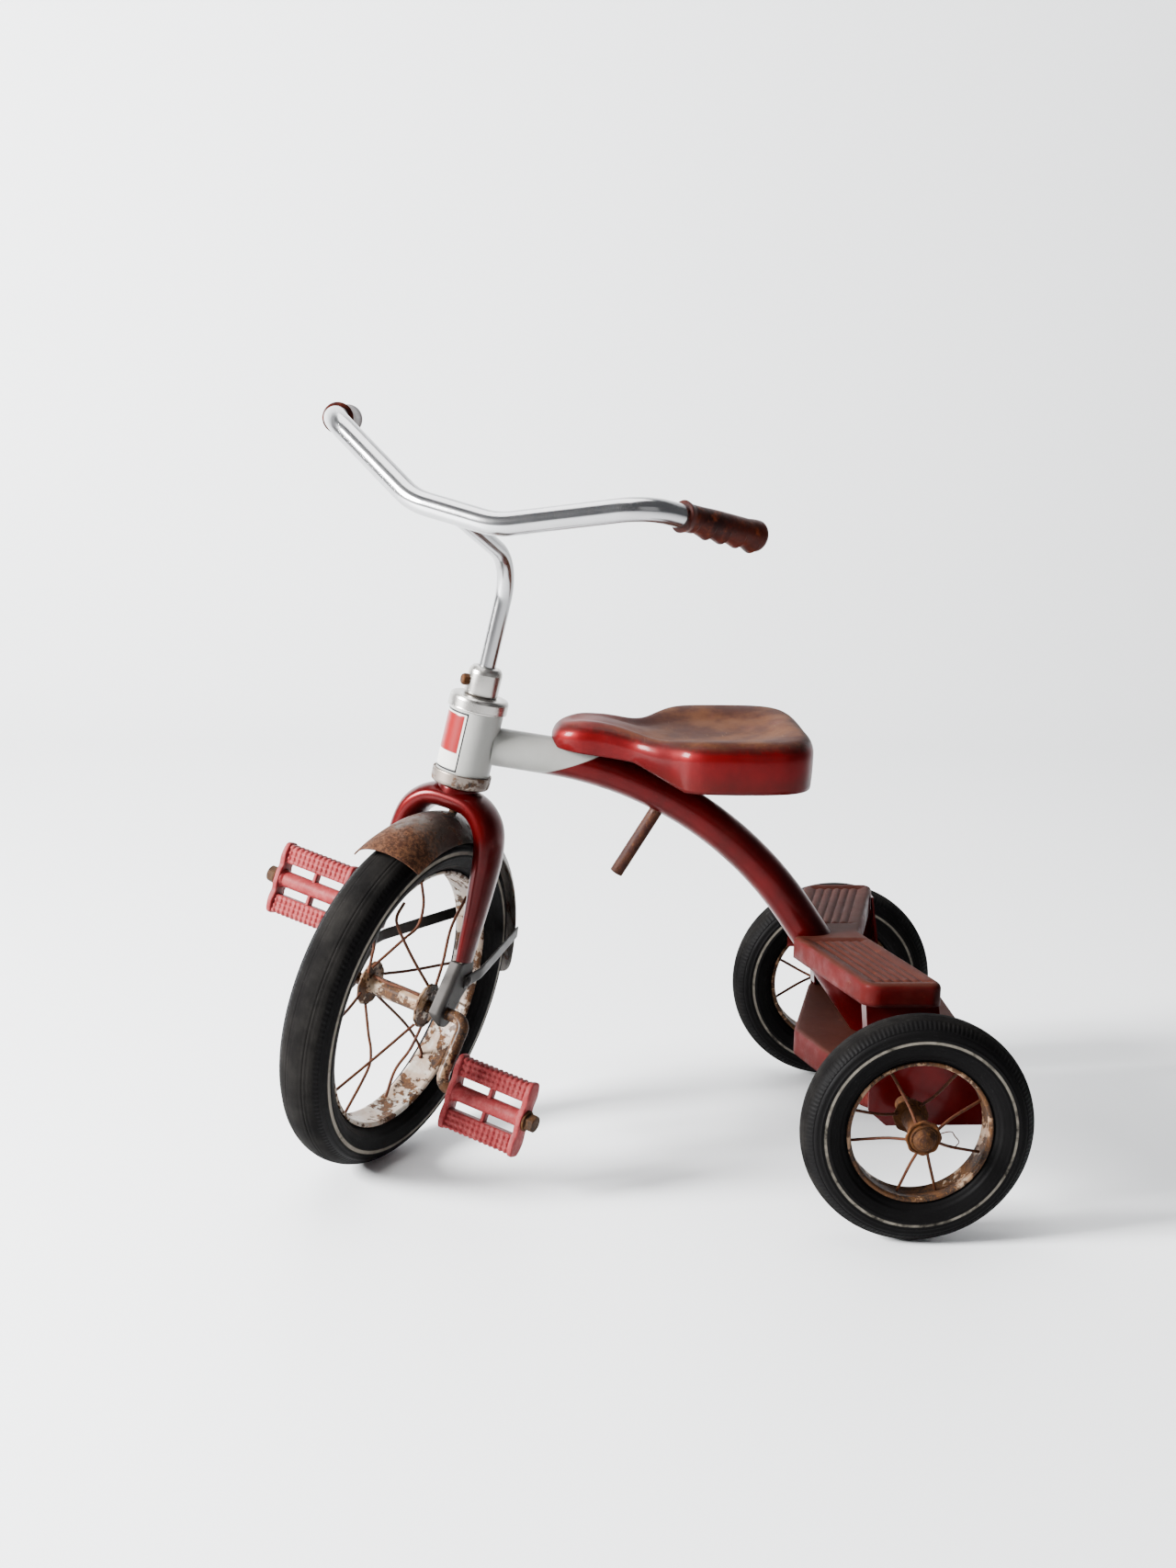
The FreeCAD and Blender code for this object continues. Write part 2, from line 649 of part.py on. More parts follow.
def seat_outline(shrink):
    """Plan of the seat, moved in by shrink: a narrow nose that flares to a broad rear."""
    length = SEAT_REAR_Y - SEAT_NOSE_Y
    half = [Vector(0, SEAT_NOSE_Y, 0)]
    for wide, along in SEAT_PLAN:
        half.append(Vector(wide * SEAT_HALF, SEAT_NOSE_Y + along * length, 0))
    half.append(Vector(0, SEAT_REAR_Y, 0))
    ring = half + [Vector(-p.x, p.y, 0) for p in half[-2:0:-1]]
    moved = []
    for number, point in enumerate(ring):
        ahead = ring[(number + 1) % len(ring)].sub(ring[number - 1]).normalize()
        moved.append(point.add(Z_AXIS.cross(ahead) * shrink))
    curve = Part.BSplineCurve()
    curve.interpolate(moved, PeriodicFlag=True)
    return Part.Face(Part.Wire(curve.toShape()))


def seat_block(shrink, low, high):
    """The seat's outline given height, with its top pressed into a shallow bowl."""
    block = slab(seat_outline(shrink), low, high)
    length = SEAT_REAR_Y - SEAT_NOSE_Y
    bowl_half = BOWL_REACH * length
    bowl_r = (bowl_half ** 2 + BOWL_DEPTH ** 2) / (2 * BOWL_DEPTH)
    bowl_y = SEAT_NOSE_Y + BOWL_AT * length
    bowl = Part.makeSphere(bowl_r, Vector(0, bowl_y, high + bowl_r - BOWL_DEPTH))
    return block.cut(bowl)


seat_outer = seat_block(0.0, SEAT_LOW_Z, SEAT_RIM_Z)
seat_inner = seat_block(SEAT_SHEET, SEAT_LOW_Z - 1, SEAT_RIM_Z - SEAT_SHEET)
seat_long = SEAT_REAR_Y - SEAT_NOSE_Y
hem = [Vector(-SEAT_HALF - 5, SEAT_NOSE_Y - 5, SEAT_LOW_Z - 5)]
hem += [Vector(-SEAT_HALF - 5, SEAT_NOSE_Y + share * seat_long, z) for share, z in SEAT_HEM]
below_hem = flat_face(hem).extrude(X_AXIS * (2 * SEAT_HALF + 10))
seat_pan = seat_outer.cut(seat_inner).cut(below_hem)
tube_clear = bent_bar(tube_points, [TUBE_BEND_R], TUBE_R + 2 * GAP)
seat_pan = seat_pan.cut(tube_clear)
seat_pan = max(seat_pan.Solids, key=lambda solid: solid.Volume)
add("seat_pan", seat_pan)

# The bracket is a channel under the pan; the post passes up through the backbone into it.
bracket_top = SEAT_RIM_Z - BOWL_DEPTH - SEAT_SHEET
post_top = post_foot.add(post_up * ((bracket_top - SHEET - post_foot.z) / post_up.z))
bracket_y = post_top.y
bracket_front = bracket_y - BRACKET_AHEAD
bracket = Part.makeBox(BRACKET_WIDE, BRACKET_LONG, SHEET,
                       Vector(-BRACKET_WIDE / 2, bracket_front, bracket_top - SHEET))
for edge_x in (-BRACKET_WIDE / 2, BRACKET_WIDE / 2 - SHEET):
    ear = Part.makeBox(SHEET, BRACKET_LONG, BRACKET_DEEP,
                       Vector(edge_x, bracket_front, bracket_top - BRACKET_DEEP))
    bracket = bracket.fuse(ear)
bracket = bracket.cut(tube_clear).removeSplitter()
add("seat_bracket", max(bracket.Solids, key=lambda solid: solid.Volume))
beyond_top = post_top.add(post_up * 4 * POST_R)
long_post = rod(post_foot, beyond_top, POST_R)
post_room = Part.makeBox(200, 400, 400, Vector(-100, -400, bracket_top - SHEET - 400))
add("seat_post", long_post.common(post_room))
backbone = backbone.cut(rod(post_foot, beyond_top, POST_R + RUN))
add("backbone_tube", backbone)

rivets = []
for x in (-SEAT_RIVET_X, SEAT_RIVET_X):
    for behind in SEAT_RIVET_Y:
        foot = Vector(x, bracket_y + behind, bracket_top - SHEET)
        rivets.append(rod(foot, foot.sub(Z_AXIS * SEAT_RIVET_HIGH), SEAT_RIVET_R))
add("seat_rivets", Part.makeCompound(rivets))

# ---- fork ---------------------------------------------------------------------
def fork_rings():
    """Ovals from the left blade's foot over the crown to the right blade's foot."""
    half = []
    for side, back, up, half_wide, half_deep in BLADE_SECTIONS:
        half.append((Vector(side, back, up), half_wide, half_deep))
    other = [(Vector(-p.x, p.y, p.z), w, d) for p, w, d in half[-2::-1]]
    stations = half + other
    rings = []
    for number, (centre, half_wide, half_deep) in enumerate(stations):
        before = stations[max(number - 1, 0)][0]
        after = stations[min(number + 1, len(stations) - 1)][0]
        if number in (0, len(stations) - 1):
            along = Z_AXIS if number == 0 else Z_AXIS.negative()
        else:
            along = after.sub(before)
        wide_axis = Y_AXIS.cross(along)
        rings.append(ellipse_wire(centre, along, wide_axis, half_wide, half_deep))
    return rings


# The pressed fork is built as two straight blades and the arched crown that joins them.
rings = fork_rings()
last = BLADE_TOP + 1
crown_mid = BLADE_SECTIONS[-1][2]
boss = rod(Vector(0, 0, crown_mid), Vector(0, 0, HEAD_LOW - CUP_CAP - GAP), CROWN_BOSS_R)
bore = rod(Vector(0, 0, crown_mid - 30), Vector(0, 0, HEAD_LOW), STEERER_R)
add("fork_blade_left", Part.makeLoft(rings[:last], True, True), STEERED)
add("fork_blade_right", Part.makeLoft(rings[-last:], True, True), STEERED)
crown = Part.makeLoft(rings[BLADE_TOP:-BLADE_TOP], True, True).fuse(boss).cut(bore)
add("fork_crown", max(crown.Solids, key=lambda solid: solid.Volume), STEERED)
steerer_low = BLADE_SECTIONS[-1][2] - BLADE_SECTIONS[-1][3] + 1.5
collar_low = HEAD_HIGH + CUP_CAP + GAP
steerer_high = collar_low + COLLAR_HIGH - COLLAR_TOP_WALL
steerer = tube(Vector(0, 0, steerer_low), Vector(0, 0, steerer_high),
               STEERER_R, STEERER_R - STEERER_WALL)


def collar_shape():
    """The collar that closes the steerer's top and clamps the handlebar stem."""
    high = collar_low + COLLAR_HIGH

    def at(r, up):
        return Vector(r, 0, up)

    outline = [
        at(STEERER_R, collar_low),
        at(COLLAR_R - 0.8, collar_low),
        at(COLLAR_R, collar_low + 0.8),
        at(COLLAR_R, high - 3.0),
        at(COLLAR_R - 0.9, high - 0.9),
        at(COLLAR_R - 3.0, high),
        at(STEM_R + RUN, high),
        at(STEM_R + RUN, steerer_high),
        at(STEERER_R, steerer_high),
    ]
    return turned(flat_face(outline), Vector(0, 0, 0), Z_AXIS)


bolt_up = collar_low + 0.45 * COLLAR_HIGH
bolt_turn = math.radians(COLLAR_BOLT_AT)
bolt_out = Vector(math.sin(bolt_turn), -math.cos(bolt_turn), 0)
bolt_axis = Vector(0, 0, bolt_up)
bolt_tip = bolt_axis.add(bolt_out * (STEM_R + GAP))
bolt_seat = bolt_axis.add(bolt_out * COLLAR_R)
bolt_head = bolt_axis.add(bolt_out * (COLLAR_R + COLLAR_HEAD))
bolt_hole = rod(bolt_axis, bolt_head, COLLAR_BOLT_R + RUN)
add("steerer_tube", steerer.cut(bolt_hole), STEERED)
add("stem_collar", collar_shape().cut(bolt_hole), STEERED)
shank = rod(bolt_tip, bolt_head, COLLAR_BOLT_R)
add("collar_bolt", shank.fuse(rod(bolt_seat, bolt_head, COLLAR_HEAD_R)), STEERED)


def fork_end(sign):
    """A plate under the blade that carries the axle, with a flange turned in at its front."""
    low_back = BLADE_SECTIONS[0][1]
    top = BLADE_SECTIONS[0][2]
    half_top = BLADE_SECTIONS[0][4] - 1.0
    x = sign * (FORK_END_X - FORK_END_THICK)
    points = [
        Vector(x, low_back - half_top, top),
        Vector(x, low_back + half_top, top),
        Vector(x, RIVET_BACK + 8, RIVET_UP + 6),
        Vector(x, RIVET_BACK + 8, RIVET_UP - 4),
        Vector(x, -RAKE + FORK_END_R, 2),
        Vector(x, -RAKE + 2, 0),
        Vector(x, -RAKE - FORK_END_R, 0),
    ]
    thick = Vector(sign * FORK_END_THICK, 0, 0)
    plate = flat_face(points).extrude(thick)
    centre = Vector(x, -RAKE, 0)
    plate = plate.fuse(rod(centre, centre.add(thick), FORK_END_R))
    lip_low = Vector(x, -RAKE - FORK_END_R, 0)
    lip_high = Vector(x, low_back - half_top, top)
    lip = flat_face([
        lip_low,
        lip_high,
        lip_high.add(Vector(0, FORK_END_THICK, 0)),
        lip_low.add(Vector(0, FORK_END_THICK, 0)),
    ]).extrude(Vector(-sign * (FORK_END_FLANGE - FORK_END_THICK), 0, 0))
    plate = plate.fuse(lip)
    plate = plate.cut(rod(Vector(-100, -RAKE, 0), Vector(100, -RAKE, 0), CRANK_R + RUN))
    rivet_at = Vector(0, RIVET_BACK, RIVET_UP)
    plate = plate.cut(rod(rivet_at.sub(X_AXIS * 100), rivet_at.add(X_AXIS * 100), RIVET_R))
    return plate.removeSplitter()


rivets = []
for side, sign in (("left", 1), ("right", -1)):
    add("fork_end_" + side, fork_end(sign), STEERED)
    head_out = X_AXIS * (sign * RIVET_HEAD)
    inner = Vector(sign * (FORK_END_X - FORK_END_THICK), RIVET_BACK, RIVET_UP)
    outer = Vector(sign * (FORK_END_X + STAY_THICK), RIVET_BACK, RIVET_UP)
    rivet = rod(inner, outer, RIVET_R)
    rivet = rivet.fuse(rod(inner, inner.sub(head_out), RIVET_HEAD_R))
    rivet = rivet.fuse(rod(outer, outer.add(head_out), RIVET_HEAD_R))
    rivets.append(rivet.removeSplitter())
add("fork_end_rivets", Part.makeCompound(rivets), STEERED)


# ---- fender -------------------------------------------------------------------
def fender_band():
    """Section of the fender as a face in the plane above the axle."""
    crown = FENDER_CROWN_R
    edge = FENDER_EDGE_R
    half = FENDER_HALF
    sag = crown - edge
    bend_r = (half ** 2 + sag ** 2) / (2 * sag)
    centre = crown - bend_r
    spread = math.atan2(half, edge - centre)

    def at(angle, r):
        return Vector(r * math.sin(angle), 0, centre + r * math.cos(angle))

    outer = Part.Arc(at(-spread, bend_r), at(0, bend_r), at(spread, bend_r)).toShape()
    inner_r = bend_r - FENDER_SHEET
    inner = Part.Arc(at(spread, inner_r), at(0, inner_r), at(-spread, inner_r)).toShape()
    close_a = Part.LineSegment(at(spread, bend_r), at(spread, inner_r)).toShape()
    close_b = Part.LineSegment(at(-spread, inner_r), at(-spread, bend_r)).toShape()
    return Part.Face(Part.Wire([outer, close_a, inner, close_b]))


section = fender_band()
section.rotate(Vector(0, 0, 0), X_AXIS, FENDER_FRONT)
fender = section.revolve(Vector(0, 0, 0), X_AXIS, -(FENDER_FRONT + FENDER_REAR))
fender.translate(WHEEL)
fender = fender.cut(rod(Vector(0, 0, 0), Z_AXIS * 2 * FENDER_CROWN_R, FENDER_BOLT_R + RUN))
add("fender", fender, STEERED)
crown_slope = RAKE / FENDER_CROWN_R
fender_under = math.sqrt((FENDER_CROWN_R - FENDER_SHEET) ** 2 - RAKE ** 2)
head_top = Z_AXIS * (fender_under - FENDER_HEAD_R * crown_slope - GAP)
bolt_foot = head_top.sub(Z_AXIS * FENDER_HEAD)
bolt = rod(bolt_foot, Z_AXIS * (steerer_low + 12), FENDER_BOLT_R)
bolt = bolt.fuse(rod(bolt_foot, head_top, FENDER_HEAD_R))
add("fender_bolt", bolt, STEERED)


def stay(sign):
    """A flat strip from the fork end's rivet to the fender's side."""
    angle = math.radians(STAY_AT)
    reach = FENDER_EDGE_R + STAY_PAST
    x_low = sign * FORK_END_X
    x_high = sign * (FENDER_HALF + 0.6)
    low = Vector(x_low, RIVET_BACK, RIVET_UP)
    high = Vector(x_high, -RAKE + reach * math.sin(angle), reach * math.cos(angle))
    along = high.sub(low)
    bend = low.add(Vector(0, along.y, along.z) * (0.22))
    across = Vector(0, -along.z, along.y).normalize() * (STAY_WIDE / 2)
    out = X_AXIS * (sign * STAY_THICK)
    strip = None
    for first, last in ((low.sub(Vector(0, along.y, along.z).normalize() * 5), bend), (bend, high)):
        face = flat_face([first.sub(across), first.add(across), last.add(across), last.sub(across)])
        piece = face.extrude(out)
        strip = piece if strip is None else strip.fuse(piece)
    hole = rod(low.sub(X_AXIS * 10), low.add(X_AXIS * 10), RIVET_R)
    return strip.cut(hole).removeSplitter()


add("fender_stay_left", stay(1), STEERED)
add("fender_stay_right", stay(-1), STEERED)

# ---- handlebar ----------------------------------------------------------------
stem_low = Vector(0, 0, collar_low + COLLAR_HIGH - STEM_IN)
bar_mid = Vector(0, BAR_MID[0], BAR_MID[1])
left_side = [Vector(*BAR_DIP), Vector(*BAR_BEND), Vector(*GRIP_END)]
bar_points = [Vector(-p.x, p.y, p.z) for p in left_side[::-1]] + left_side
bar_radii = [BAR_BEND_R, BAR_DIP_R, BAR_DIP_R, BAR_BEND_R]
bar_body = bent_bar(bar_points, bar_radii, BAR_R)
add("handlebar_tube", bar_body.cut(bent_bar(bar_points, bar_radii, BAR_R - BAR_WALL)), STEERED)
stem_points = [stem_low] + [Vector(0, back, up) for back, up, _ in STEM_BENDS] + [bar_mid]
stem = bent_tube(stem_points, [radius for _, _, radius in STEM_BENDS], STEM_R, STEM_WALL)
stem = stem.cut(bar_body)
add("handlebar_stem", max(stem.Solids, key=lambda solid: solid.Volume), STEERED)
for side, sign in (("left", 1), ("right", -1)):
    tip = Vector(sign * GRIP_END[0], GRIP_END[1], GRIP_END[2])
    knee = Vector(sign * BAR_BEND[0], BAR_BEND[1], BAR_BEND[2])
    along = tip.sub(knee).normalize()
    mouth = tip.sub(along * (GRIP_LONG - GRIP_CAP))
    grip = rod(mouth, tip.add(along * GRIP_CAP), BAR_R + GRIP_WALL)
    ends = [e for e in grip.Edges if e.Closed]
    grip = grip.makeFillet(GRIP_ROUND, ends)
    add("grip_" + side, grip.cut(bar_body), STEERED)

# ---- crank and pedals ---------------------------------------------------------
crank_down = math.radians(CRANK_ANGLE)
throw = Vector(0, -math.cos(crank_down), -math.sin(crank_down)) * CRANK_THROW
pedal_in = PEDAL_X - PEDAL_LONG / 2
pedal_out = PEDAL_X + PEDAL_LONG / 2
spindle_end = pedal_out + GAP + WASHER_THICK + NUT_LONG - 1.0
crank_points = [
    X_AXIS * spindle_end + throw,
    X_AXIS * CRANK_ARM_X + throw,
    X_AXIS * CRANK_ARM_X,
    X_AXIS * -CRANK_ARM_X,
    X_AXIS * -CRANK_ARM_X - throw,
    X_AXIS * -spindle_end - throw,
]
crank = bent_bar(crank_points, [CRANK_BEND_R] * 4, CRANK_R)
TO_WORLD = HEAD_FRAME.Rotation.inverted()
LEVEL = Placement(Vector(0, 0, 0), TO_WORLD)
crank_place = front_place.multiply(LEVEL)
add("crank", crank, crank_place)
nuts = []
washers = []
for sign in (-1, 1):
    centre = throw * sign
    face = X_AXIS * (sign * (pedal_out + GAP))
    out = X_AXIS * sign
    washer_start = centre.add(face)
    washers.append(tube(washer_start, washer_start.add(out * WASHER_THICK),
                        NUT_R + 1.5, CRANK_R + RUN))
    nut_start = washer_start.add(out * WASHER_THICK)
    hexagon = []
    for corner in range(6):
        turn = math.radians(60 * corner)
        hexagon.append(nut_start.add(Vector(0, math.cos(turn), math.sin(turn)) * NUT_R))
    nut = flat_face(hexagon).extrude(out * NUT_LONG)
    nuts.append(nut.cut(rod(nut_start, nut_start.add(out * (NUT_LONG - 1)), CRANK_R)))
add("pedal_washers", Part.makeCompound(washers), crank_place)
add("pedal_nuts", Part.makeCompound(nuts), crank_place)


def pedal_shape():
    """A moulded pedal about its spindle: end plates, two tread pads, a barrel and a web."""
    half = PEDAL_LONG / 2
    reach = PEDAL_WIDE / 2
    solid = rod(X_AXIS * -half, X_AXIS * half, PEDAL_BARREL_R)
    pad_thick = PEDAL_THICK - 2 * PEDAL_RIM
    for start in (-half, half - PEDAL_END):
        plate = Part.makeBox(PEDAL_END, 2 * reach, PEDAL_THICK,
                             Vector(start, -reach, -PEDAL_THICK / 2))
        corners = [e for e in plate.Edges if e.BoundBox.XLength > PEDAL_END - 0.1]
        solid = solid.fuse(plate.makeFillet(PEDAL_END_ROUND, corners))
    for start in (-reach, reach - PEDAL_PAD):
        pad = Part.makeBox(PEDAL_LONG - PEDAL_END, PEDAL_PAD, pad_thick,
                           Vector(-half + PEDAL_END / 2, start, -pad_thick / 2))
        solid = solid.fuse(pad)
    thick, high = PEDAL_WEB
    web = Part.makeBox(thick, 2 * reach - PEDAL_PAD, high,
                       Vector(-thick / 2, -reach + PEDAL_PAD / 2, -high / 2))
    solid = solid.fuse(web)
    solid = solid.cut(rod(X_AXIS * -PEDAL_LONG, X_AXIS * PEDAL_LONG, CRANK_R + RUN))
    return solid.removeSplitter()


for side, sign in (("left", 1), ("right", -1)):
    pedal = pedal_shape()
    pedal.rotate(Vector(0, 0, 0), X_AXIS, PEDAL_ANGLE)
    pedal.translate(X_AXIS * (sign * PEDAL_X) + throw * sign)
    add("pedal_" + side, pedal, crank_place)

# ---- export -------------------------------------------------------------------
def mesh_box(shapes):
    """Lowest and highest corners of the shapes, from fine meshes of them."""
    low = [1e9, 1e9, 1e9]
    high = [-1e9, -1e9, -1e9]
    for shape in shapes:
        for point in shape.tessellate(0.1)[0]:
            for axis in range(3):
                low[axis] = min(low[axis], point[axis])
                high[axis] = max(high[axis], point[axis])
    return low, high


low, high = mesh_box(parts.values())
origin = Vector((low[0] + high[0]) / 2, (low[1] + high[1]) / 2, 0)
os.makedirs("parts", exist_ok=True)
for name, shape in parts.items():
    moved = shape.copy()
    moved.translate(origin.negative())
    moved.exportStep("parts/%s.step" % name)
print("origin moved by", -origin.x, -origin.y, "box", low, high)
for name, shape in parts.items():
    if not shape.isValid():
        print("not valid:", name)
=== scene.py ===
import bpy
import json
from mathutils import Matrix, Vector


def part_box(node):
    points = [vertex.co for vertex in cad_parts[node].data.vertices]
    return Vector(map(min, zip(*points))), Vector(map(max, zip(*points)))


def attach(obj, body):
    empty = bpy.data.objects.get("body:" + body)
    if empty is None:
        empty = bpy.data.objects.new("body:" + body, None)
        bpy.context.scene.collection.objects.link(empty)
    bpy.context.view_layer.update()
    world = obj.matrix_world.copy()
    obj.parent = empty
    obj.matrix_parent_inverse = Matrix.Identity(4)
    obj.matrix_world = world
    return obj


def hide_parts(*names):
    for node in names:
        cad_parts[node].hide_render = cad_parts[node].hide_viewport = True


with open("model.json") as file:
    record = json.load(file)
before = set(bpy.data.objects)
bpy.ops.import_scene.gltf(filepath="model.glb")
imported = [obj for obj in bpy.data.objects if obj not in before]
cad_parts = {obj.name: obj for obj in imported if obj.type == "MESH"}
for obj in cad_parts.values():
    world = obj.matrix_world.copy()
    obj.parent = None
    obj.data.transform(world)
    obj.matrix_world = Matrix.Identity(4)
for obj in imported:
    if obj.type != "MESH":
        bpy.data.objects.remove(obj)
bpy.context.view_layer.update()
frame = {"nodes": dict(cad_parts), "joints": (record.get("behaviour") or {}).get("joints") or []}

import json
import math

import bmesh
import bpy
import numpy as np
from mathutils import Matrix, Vector

# Looks of a worn children's tricycle. Shapes are in millimetres; finishes and the studio are
# in metres.
MM = 0.001

# ---- frames of the moving pieces ---------------------------------------------------
JOINTS = {joint["name"]: joint for joint in frame["joints"]}
NODES = frame["nodes"]
PIVOT_UP = 237.0             # the steering joint's point, up its axis from the head's origin
RAKE = 22.0                  # front axle ahead of the steering axis
PEDAL_LEAN = 80.4            # width of the pedals, degrees from the wheel's rearward line
X_AXIS = np.array([1.0, 0.0, 0.0])
Y_AXIS = np.array([0.0, 1.0, 0.0])
Z_AXIS = np.array([0.0, 0.0, 1.0])
SIDES = (("left", 1), ("right", -1))


def unit(vector):
    """The vector divided by its length."""
    return vector / np.linalg.norm(vector, axis=-1, keepdims=True)


def joint_axis(name):
    """A joint's direction as an array."""
    return unit(np.array(JOINTS[name]["axis"], float))


def joint_point(name):
    """A joint's point in millimetres."""
    return np.array(JOINTS[name]["pos_m"], float) / MM


def placed(origin, x_dir, z_dir):
    """A map from local (x, y, z) to the object's frame.

    The result is origin + x*x_dir + y*(z_dir cross x_dir) + z*z_dir.
    """
    rows = np.stack([x_dir, np.cross(z_dir, x_dir), z_dir])

    def put(points):
        return origin + np.asarray(points, float) @ rows

    return put


UP = joint_axis("steering")
AXLE = joint_axis("front_wheel_spin")
HEAD_ORIGIN = joint_point("steering") - PIVOT_UP * UP
head = placed(HEAD_ORIGIN, X_AXIS, UP)
steered = placed(HEAD_ORIGIN, AXLE, UP)
front_wheel = placed(joint_point("front_wheel_spin"), AXLE, UP)
REAR_WHEELS = {side: placed(joint_point(side + "_rear_wheel_spin"), X_AXIS, Z_AXIS)
               for side in ("left", "right")}
REAR_Y = joint_point("left_rear_wheel_spin")[1]
SEAT_NOSE, SEAT_REAR = REAR_Y - 300.0, REAR_Y - 72.0
SEAT_RIM, SEAT_LOW, SEAT_HALF = 404.0, 360.0, 99.0
PEDAL_CENTRES = {side: joint_point(side + "_pedal_spin") for side in ("left", "right")}
lean = math.radians(PEDAL_LEAN)
PEDAL_WIDE = math.cos(lean) * np.cross(UP, AXLE) + math.sin(lean) * UP
PEDAL_NORMAL = np.cross(AXLE, PEDAL_WIDE)


# ---- surfaces ----------------------------------------------------------------------
def ease(x, low, high):
    """0 below low, 1 above high, with a smooth cubic between: t*t*(3 - 2t)."""
    t = np.clip((x - low) / (high - low), 0, 1)
    return t * t * (3 - 2 * t)


def bump(x, middle, width):
    """A bell of height 1: exp(-((x - middle) / width) squared)."""
    return np.exp(-((x - middle) / width) ** 2)


def patch(points, wrap_rows=False, wrap_cols=False):
    """Vertices and quads of a grid of points [rows, cols, 3], joined round where it wraps."""
    rows, cols = points.shape[:2]
    index = np.arange(rows * cols).reshape(rows, cols)
    if wrap_rows:
        index = np.concatenate([index, index[:1]], 0)
    if wrap_cols:
        index = np.concatenate([index, index[:, :1]], 1)
    quads = np.stack([index[:-1, :-1], index[1:, :-1], index[1:, 1:], index[:-1, 1:]], -1)
    return points.reshape(-1, 3), quads.reshape(-1, 4)


def capped(points):
    """The grid with a last row at each end drawn in to the middle of that end's ring."""
    first = np.broadcast_to(points[:1].mean(1, keepdims=True), points[:1].shape)
    last = np.broadcast_to(points[-1:].mean(1, keepdims=True), points[-1:].shape)
    return np.concatenate([first, points, last], 0)


def rounded(corners, radii, steps=8):
    """Points along straight runs between corners, each corner an arc of its radius."""
    corners = np.asarray(corners, float)
    out = [corners[:1]]
    for before, corner, after, radius in zip(corners, corners[1:], corners[2:], radii):
        back, ahead = unit(before - corner), unit(after - corner)
        half = math.acos(max(-1.0, min(1.0, float(back @ ahead)))) / 2
        reach = radius / math.tan(half)
        centre = corner + unit(back + ahead) * radius / math.sin(half)
        first, last = corner + back * reach, corner + ahead * reach
        share = np.linspace(0, 1, steps + 1)[:, None]
        sweep_angle = math.pi - 2 * half
        a, b = first - centre, last - centre
        arc = centre + (np.sin((1 - share) * sweep_angle) * a + np.sin(share * sweep_angle) * b) \
            / math.sin(sweep_angle)
        out.append(arc)
    out.append(corners[-1:])
    return np.concatenate(out)


def even(path, step):
    """The same line with points about one step apart."""
    path = np.asarray(path, float)
    lengths = np.concatenate([[0], np.cumsum(np.linalg.norm(np.diff(path, axis=0), axis=1))])
    marks = np.linspace(0, lengths[-1], max(int(lengths[-1] / step), 2) + 1)
    return np.stack([np.interp(marks, lengths, path[:, k]) for k in range(3)], 1)


def flowing(points, count):
    """A smooth curve through the points: each span is the Catmull-Rom cubic of its neighbours."""
    points = np.asarray(points, float)
    ends = np.concatenate([2 * points[:1] - points[1:2], points, 2 * points[-1:] - points[-2:-1]])
    marks = np.linspace(0, len(points) - 1, count)
    span = np.minimum(marks.astype(int), len(points) - 2)
    t = (marks - span)[:, None]
    a, b, c, d = (ends[span + k] for k in range(4))
    return 0.5 * (2 * b + (c - a) * t + (2 * a - 5 * b + 4 * c - d) * t ** 2
                  + (3 * b - a - 3 * c + d) * t ** 3)


def tube(path, radius, sides, across=X_AXIS, shape=None):
    """A ring of the radius square to the path at each point.

    The ring's second axis is across made square to the path, and the first is second x tangent.
    shape(turn, along) gives a factor on the radius from the angle round the ring and the distance
    along the path.
    """
    path = np.asarray(path, float)
    tangent = unit(np.gradient(path, axis=0))
    second = unit(across - (tangent @ across)[:, None] * tangent)
    first = np.cross(second, tangent)
    turn = np.linspace(0, 2 * math.pi, sides, endpoint=False)[None, :, None]
    along = np.concatenate([[0], np.cumsum(np.linalg.norm(np.diff(path, axis=0), axis=1))])
    size = np.broadcast_to(np.asarray(radius, float), (len(path),))[:, None, None]
    if shape is not None:
        size = size * shape(turn, along[:, None, None])
    ring = path[:, None] + size * (np.cos(turn) * first[:, None] + np.sin(turn) * second[:, None])
    return patch(capped(ring), wrap_cols=True)


def ribbon(path, wide, thick, across):
    """A flat strip: a rounded rectangle, wide along across, carried along the path."""
    path = np.asarray(path, float)
    tangent = unit(np.gradient(path, axis=0))
    side = unit(across - (tangent @ across)[:, None] * tangent)
    face = np.cross(tangent, side)
    turn = np.linspace(0, 2 * math.pi, 20, endpoint=False) + math.pi / 20
    flat = np.sign(np.cos(turn)) * np.abs(np.cos(turn)) ** 0.35
    deep = np.sign(np.sin(turn)) * np.abs(np.sin(turn)) ** 0.5
    ring = path[:, None] + side[:, None] * (flat * wide / 2)[None, :, None] \
        + face[:, None] * (deep * thick / 2)[None, :, None]
    return patch(capped(ring), wrap_cols=True)


def lathe(profile, turns, wave=None, closed=True):
    """A profile of (along x, radius) turned about local X.

    A closed profile is a ring's section. An open one starts and ends on the axis.
    wave(turn, x, radius) gives an addition to the radius.
    """
    profile = np.asarray(profile, float)
    turn = np.linspace(0, 2 * math.pi, turns, endpoint=False)[:, None]
    x = np.broadcast_to(profile[None, :, 0], (turns, len(profile)))
    radius = np.broadcast_to(profile[None, :, 1], x.shape)
    if wave is not None:
        radius = radius + wave(turn, x, radius)
    points = np.stack([x, -radius * np.sin(turn), radius * np.cos(turn)], -1)
    return patch(points, wrap_rows=True, wrap_cols=closed)


